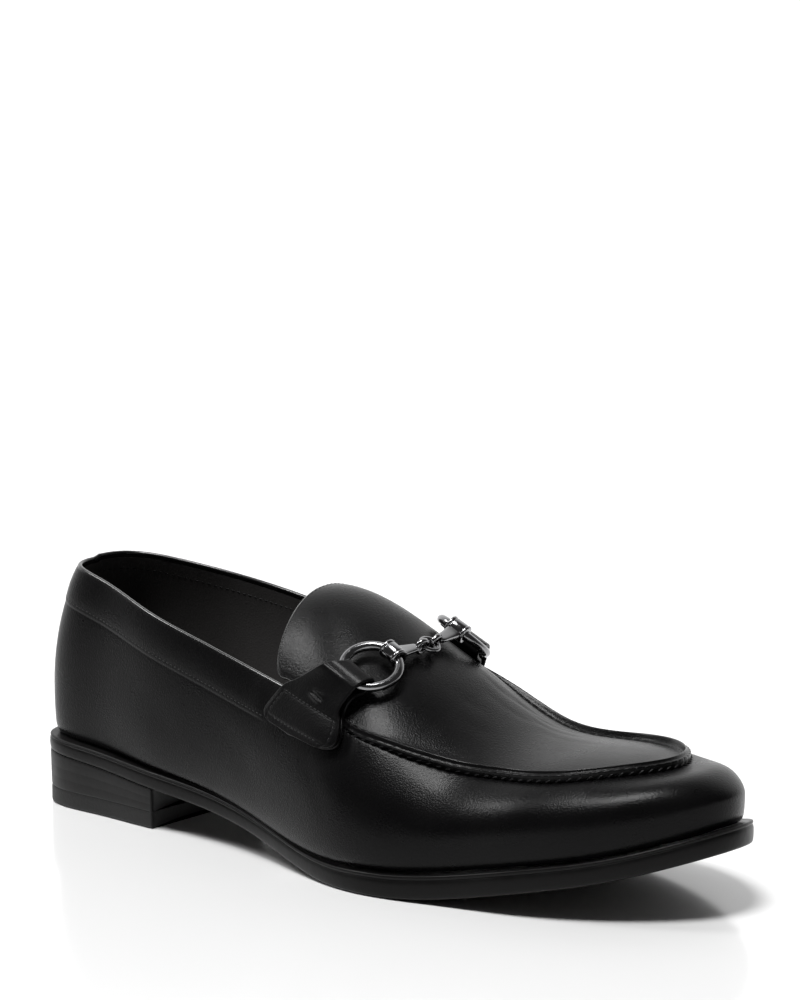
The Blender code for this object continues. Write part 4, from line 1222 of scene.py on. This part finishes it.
def tab_rows(side):
    """Rows of points across the tab: up the flank, round the ring's wire and back under."""
    centre, normal, girth = PLACES[side]
    start = (BIT_ALONG - 0.5) * SHOE_LENGTH - BIT_SAG
    along = np.array([1.0, 0.0, 0.0])
    along = unit(along - normal * np.dot(along, normal))
    down = np.cross(along, normal) * -side
    drop = down * math.cos(TAB_LEAN) - along * math.sin(TAB_LEAN)
    cross = along * math.cos(TAB_LEAN) + down * math.sin(TAB_LEAN)
    lift = RING_WIRE / 2 + CLEARANCE + TAB_LEATHER / 2 + 0.15 * MM
    turn_in = WIRE - RING_WIRE / 2 - CLEARANCE - TAB_LEATHER / 2 - 2.6 * MM
    half = TAB_END / 2
    across = np.linspace(0, 1, 7)
    under_lift = TAB_GAP + TAB_LEATHER / 2
    over_lift = under_lift + TAB_LEATHER + CLEARANCE

    def flank(index, lift_by):
        back, back_down, front, front_down = (
            TAB[key][index] * RING_OUTER for key in ("back", "back_down", "front", "front_down"))
        row = []
        for t in across:
            p, n = surface(side, start + back + (front - back) * t,
                           girth + back_down + (front_down - back_down) * t)
            row.append(p + n * lift_by)
        return row

    def bridge(down_by, out_by, left, right):
        return [centre + drop * down_by + normal * out_by
                + cross * half * (left + (right - left) * t) for t in across]
    over = [flank(index, over_lift + loose * MM)
            for index, loose in ((4, 0.0), (3, 0.1), (2, 0.4), (1, 1.0), (0, 2.2))]
    below = [flank(index, under_lift) for index in range(5)]
    wide = WIRE + 3.9 * MM
    spot, _ = surface(side, start, girth + wide)
    fall = max(float(np.dot(centre - spot, normal)) - BIT_LIFT - 1.6 * MM, 0.0)
    fold = [bridge(*row) for row in (
        (wide, 0.9 * MM - 0.2 * fall, -2.0, 0.78), (WIRE + 2.1 * MM, 2.1 * MM, -1.75, 0.82),
        (WIRE, lift, -1.5, 0.88), (WIRE - 2.5 * MM, lift - 0.2 * MM, -1.12, 0.95),
        (turn_in + 0.7 * MM, 1.9 * MM, -1, 1), (turn_in, 0.0, -1, 1),
        (turn_in + 0.7 * MM, -1.9 * MM, -1, 1), (WIRE - 2.5 * MM, 0.2 * MM - lift, -1.12, 0.95),
        (WIRE, -lift, -1.5, 0.88), (wide, -2.9 * MM - 0.45 * fall, -2.0, 0.78))]
    return np.array(over + fold + below)


def spline(values, at):
    """Natural cubic through values at whole numbers, read at other places."""
    n = len(values)
    grid = np.eye(n)
    rise = np.zeros_like(values)
    for i in range(1, n - 1):
        grid[i, i - 1:i + 2] = (1, 4, 1)
        rise[i] = 6 * (values[i + 1] - 2 * values[i] + values[i - 1])
    bend = np.linalg.solve(grid, rise.reshape(n, -1)).reshape(values.shape)
    i = np.clip(np.floor(at).astype(int), 0, n - 2)
    b = (at - i).reshape((-1,) + (1,) * (values.ndim - 1))
    a = 1 - b
    return (a * values[i] + b * values[i + 1]
            + ((a**3 - a) * bend[i] + (b**3 - b) * bend[i + 1]) / 6)


def tab_sheet(side):
    """Middle sheet of a tab, its two lower corners rounded by quarter circles.

    With it come the distance along it of each row, and the share cut off each row's ends.
    """
    rows = tab_rows(side)
    control = spline(rows, np.linspace(0, len(rows) - 1, TAB_ROWS))
    control = control.transpose(1, 0, 2)
    control = spline(control, np.linspace(0, len(control) - 1, TAB_COLUMNS)).transpose(1, 0, 2)
    arc = arc_length(control[:, TAB_COLUMNS // 2])
    wide = np.linalg.norm(control[:, -1] - control[:, 0], axis=1)
    into = np.clip(np.minimum(arc, arc[-1] - arc) / TAB_CORNER, 0, 1)
    cut = (TAB_CORNER * (1 - np.sqrt(np.clip(1 - (1 - into)**2, 0, 1))) / wide)[:, None]
    even = np.linspace(0, 1, TAB_COLUMNS)
    shares = cut + (1 - 2 * cut) * even
    sheet = np.stack([along_line(row, even, at) for row, at in zip(control, shares)])
    return sheet, arc[:, None], cut, shares


def tab_relief(arc, shares, wide):
    """Relief of the over layer: a groove along its box of stitches, puffed inside it, and a slit.

    The slit's lips are a wide bell curve less a narrow one, faded out at its two ends.
    """
    gap = np.minimum(shares, 1 - shares) * wide
    in_box = (arc < BOX_TOP + 0.3 * MM) * (gap > BOX_INSET - 0.3 * MM)
    near_box = np.minimum(np.abs(gap - BOX_INSET),
                          np.minimum(np.abs(arc - BOX_INSET), np.abs(arc - BOX_TOP)))
    height = -0.16 * MM * in_box * bell(near_box, 0.4 * MM)
    puff = np.sin(np.pi * np.clip((arc - BOX_INSET) / (BOX_TOP - BOX_INSET), 0, 1))
    height += 0.25 * MM * (arc < BOX_TOP) * puff
    height *= smooth(gap, 0.0, 1.5 * MM)
    along = (shares - 0.55) * wide
    beside = arc - SLIT_PLACE + 0.18 * along
    lips = bell(beside, 1.55 * MM) - 1.75 * bell(beside, 0.62 * MM)
    return height + 0.85 * MM * lips * np.exp(-(along / SLIT_REACH)**4)


def tab_shell(sheet, normal, top_face):
    """Closed loops round the tab: both faces, half circles at its sides and a round start."""
    h = TAB_LEATHER / 2
    across = unit(np.gradient(sheet, axis=1))
    turns = np.linspace(0, np.pi, 7)[1:-1]
    right = [sheet[:, -1] + across[:, -1] * h * math.sin(a) + normal[:, -1] * h * math.cos(a)
             for a in turns]
    left = [sheet[:, 0] - across[:, 0] * h * math.sin(a) - normal[:, 0] * h * math.cos(a)
            for a in turns]
    bottom_face = sheet - normal * h
    loops = np.concatenate([top_face, np.stack(right, 1), bottom_face[:, ::-1], np.stack(left, 1)],
                           axis=1)

    def round_loop(row):
        sides = len(turns)
        return np.concatenate([row, np.repeat(row[-1:], sides, 0), row[::-1],
                               np.repeat(row[:1], sides, 0)])
    middle = round_loop(sheet[0])
    forward = round_loop(unit(sheet[0] - sheet[1]))
    caps = [middle + (loops[0] - middle) * math.cos(a) + forward * h * math.sin(a)
            for a in np.linspace(0, np.pi / 2, 5)[:0:-1]]
    return np.concatenate([np.stack(caps), loops])


def tab_seams(top_face, normal, arc, cut, wide):
    """Four lines of the box of stitches: its lower and upper ends and its two sides."""
    last_column = TAB_COLUMNS - 1

    def row_at(distance):
        return int(np.argmin(np.abs(arc[:100, 0] - distance)))
    first = row_at(BOX_INSET)
    last = row_at(BOX_TOP)
    margin = max(int(BOX_INSET / wide[last, 0] * last_column), 1)
    lines = [(top_face[first, 9:52], normal[first, 9:52]),
             (top_face[last, margin:-margin - 1], normal[last, margin:-margin - 1])]
    rows = np.arange(row_at(BOX_START), last + 1)
    share = np.clip((BOX_INSET / wide[rows, 0] - cut[rows, 0]) / (1 - 2 * cut[rows, 0]), 0, 1)
    for place in (share, 1 - share):
        columns = np.round(place * last_column).astype(int)
        lines.append((top_face[rows, columns], normal[rows, columns]))
    return lines


def build_tab(side):
    """Tab with rounded edges and corners, and its box of stitches."""
    sheet, arc, cut, shares = tab_sheet(side)
    normal = grid_normals(sheet, False, False)
    outwards = np.dot(normal[20, 30], surface(side, 0.0, 0.05)[1]) >= 0
    if not outwards:
        normal = -normal
    wide = np.linalg.norm(sheet[:, -1] - sheet[:, 0], axis=1)[:, None]
    relief = tab_relief(arc, shares, wide)
    top_face = sheet + normal * (TAB_LEATHER / 2 + relief)[..., None]
    loops = tab_shell(sheet, normal, top_face)
    faces = grid_faces(*loops.shape[:2], False, True, flip=outwards)
    name = SIDE_NAMES[side]
    piece = finish_mesh("tab_" + name, loops, faces, TAB_BLACK)
    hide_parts("strap_" + name)
    lines = tab_seams(top_face, normal, arc, cut, wide)
    threads("tab_stitches_" + name, lines, 2.1 * MM, 1.6 * MM, 0.25 * MM)


build_tab(OUTER)
build_tab(INNER)


# Floor, lights and camera
def put(name, data):
    """Object in the scene from its data."""
    thing = bpy.data.objects.new(name, data)
    bpy.context.scene.collection.objects.link(thing)
    return thing


def aimed(way):
    """Turn of a light that shines along a direction."""
    return way.to_track_quat("-Z", "Y").to_euler()


def build_floor(reach=60, depth=-1e-4):
    """Wide pale floor with a soft reflection."""
    mesh = bpy.data.meshes.new("floor")
    corners = [(-reach, -reach, depth), (reach, -reach, depth), (reach, reach, depth),
               (-reach, reach, depth)]
    mesh.from_pydata(corners, [], [(0, 1, 2, 3)])
    look, _, _ = new_finish("pale_floor", Base_Color=(0.9, 0.9, 0.9, 1.0), Roughness=0.14,
                            Specular_IOR_Level=0.8)
    mesh.materials.append(look)
    put("floor", mesh)


def build_studio_light():
    """Background that is bright beyond the shoe and dark behind the camera."""
    world = bpy.data.worlds.new("studio")
    bpy.context.scene.world = world
    world.use_nodes = True
    tree = world.node_tree
    toward = node(tree, "VectorMath")
    toward.operation = "DOT_PRODUCT"
    toward.inputs[1].default_value = (-0.62, 0.785, 0.0)
    glow = node(tree, "MapRange", From_Min=0.1, From_Max=0.8, To_Min=0.06, To_Max=1.15)
    glow.interpolation_type = "SMOOTHSTEP"
    tree.links.new(node(tree, "TexCoord").outputs["Generated"], toward.inputs[0])
    tree.links.new(toward.outputs["Value"], glow.inputs["Value"])
    tree.links.new(glow.outputs["Result"], tree.nodes["Background"].inputs["Color"])
    tree.nodes["Background"].inputs["Strength"].default_value = 1.0


def build_softbox(place, aim):
    """Small rectangular light at the camera's left, aimed at the tongue."""
    lamp = bpy.data.lights.new("left", "AREA")
    lamp.shape = "RECTANGLE"
    lamp.size = 0.28
    lamp.size_y = 0.42
    lamp.energy = 8.5
    thing = put("left", lamp)
    thing.location = place
    thing.rotation_euler = aimed(Vector(aim) - Vector(place))


def build_key():
    """Broad light from above."""
    lamp = bpy.data.lights.new("key", "SUN")
    lamp.energy = 3.1
    lamp.angle = math.radians(22)
    put("key", lamp).rotation_euler = aimed(Vector((0.03, 0.23, -0.97)))


build_floor()
build_studio_light()
build_softbox((-1.10, -0.42, 1.20), (-0.01, -0.02, 0.075))
build_key()

# Camera: where it stands, and its focal length and centre in the photograph's pixels
AZIMUTH = math.radians(38.40)
ELEVATION = math.radians(12.80)
DISTANCE = 1.850
FOCAL = 5224.5
CENTRE_X = 390.01
CENTRE_Y = 724.91
FRAME_WIDTH = 800
FRAME_HEIGHT = 1000
TILT = math.radians(-0.18)
SENSOR = 36.0
TARGET = np.array([0.0, SIDEWAYS, 0.045])


def build_camera():
    """Camera turned from the target towards the frame's own middle, with no shift."""
    out = np.array([math.sin(AZIMUTH) * math.cos(ELEVATION),
                    -math.cos(AZIMUTH) * math.cos(ELEVATION), math.sin(ELEVATION)])
    right = np.array([math.cos(AZIMUTH), math.sin(AZIMUTH), 0.0])
    up = np.cross(right, -out)
    right, up = (right * math.cos(TILT) + up * math.sin(TILT),
                 up * math.cos(TILT) - right * math.sin(TILT))
    ahead = unit(-out + right * (FRAME_WIDTH / 2 - CENTRE_X) / FOCAL
                 + up * (CENTRE_Y - FRAME_HEIGHT / 2) / FOCAL)
    right = unit(np.cross(ahead, up))
    lens = bpy.data.cameras.new("camera")
    lens.sensor_fit = "HORIZONTAL"
    lens.sensor_width = SENSOR
    lens.lens = FOCAL * SENSOR / FRAME_WIDTH
    lens.clip_end = 50.0
    camera = put("camera", lens)
    pose = np.eye(4)
    pose[:3] = np.stack([right, np.cross(right, ahead), -ahead, TARGET + out * DISTANCE], -1)
    camera.matrix_world = Matrix(pose.tolist())
    bpy.context.scene.camera = camera


build_camera()
bpy.context.scene.view_settings.view_transform = "Standard"
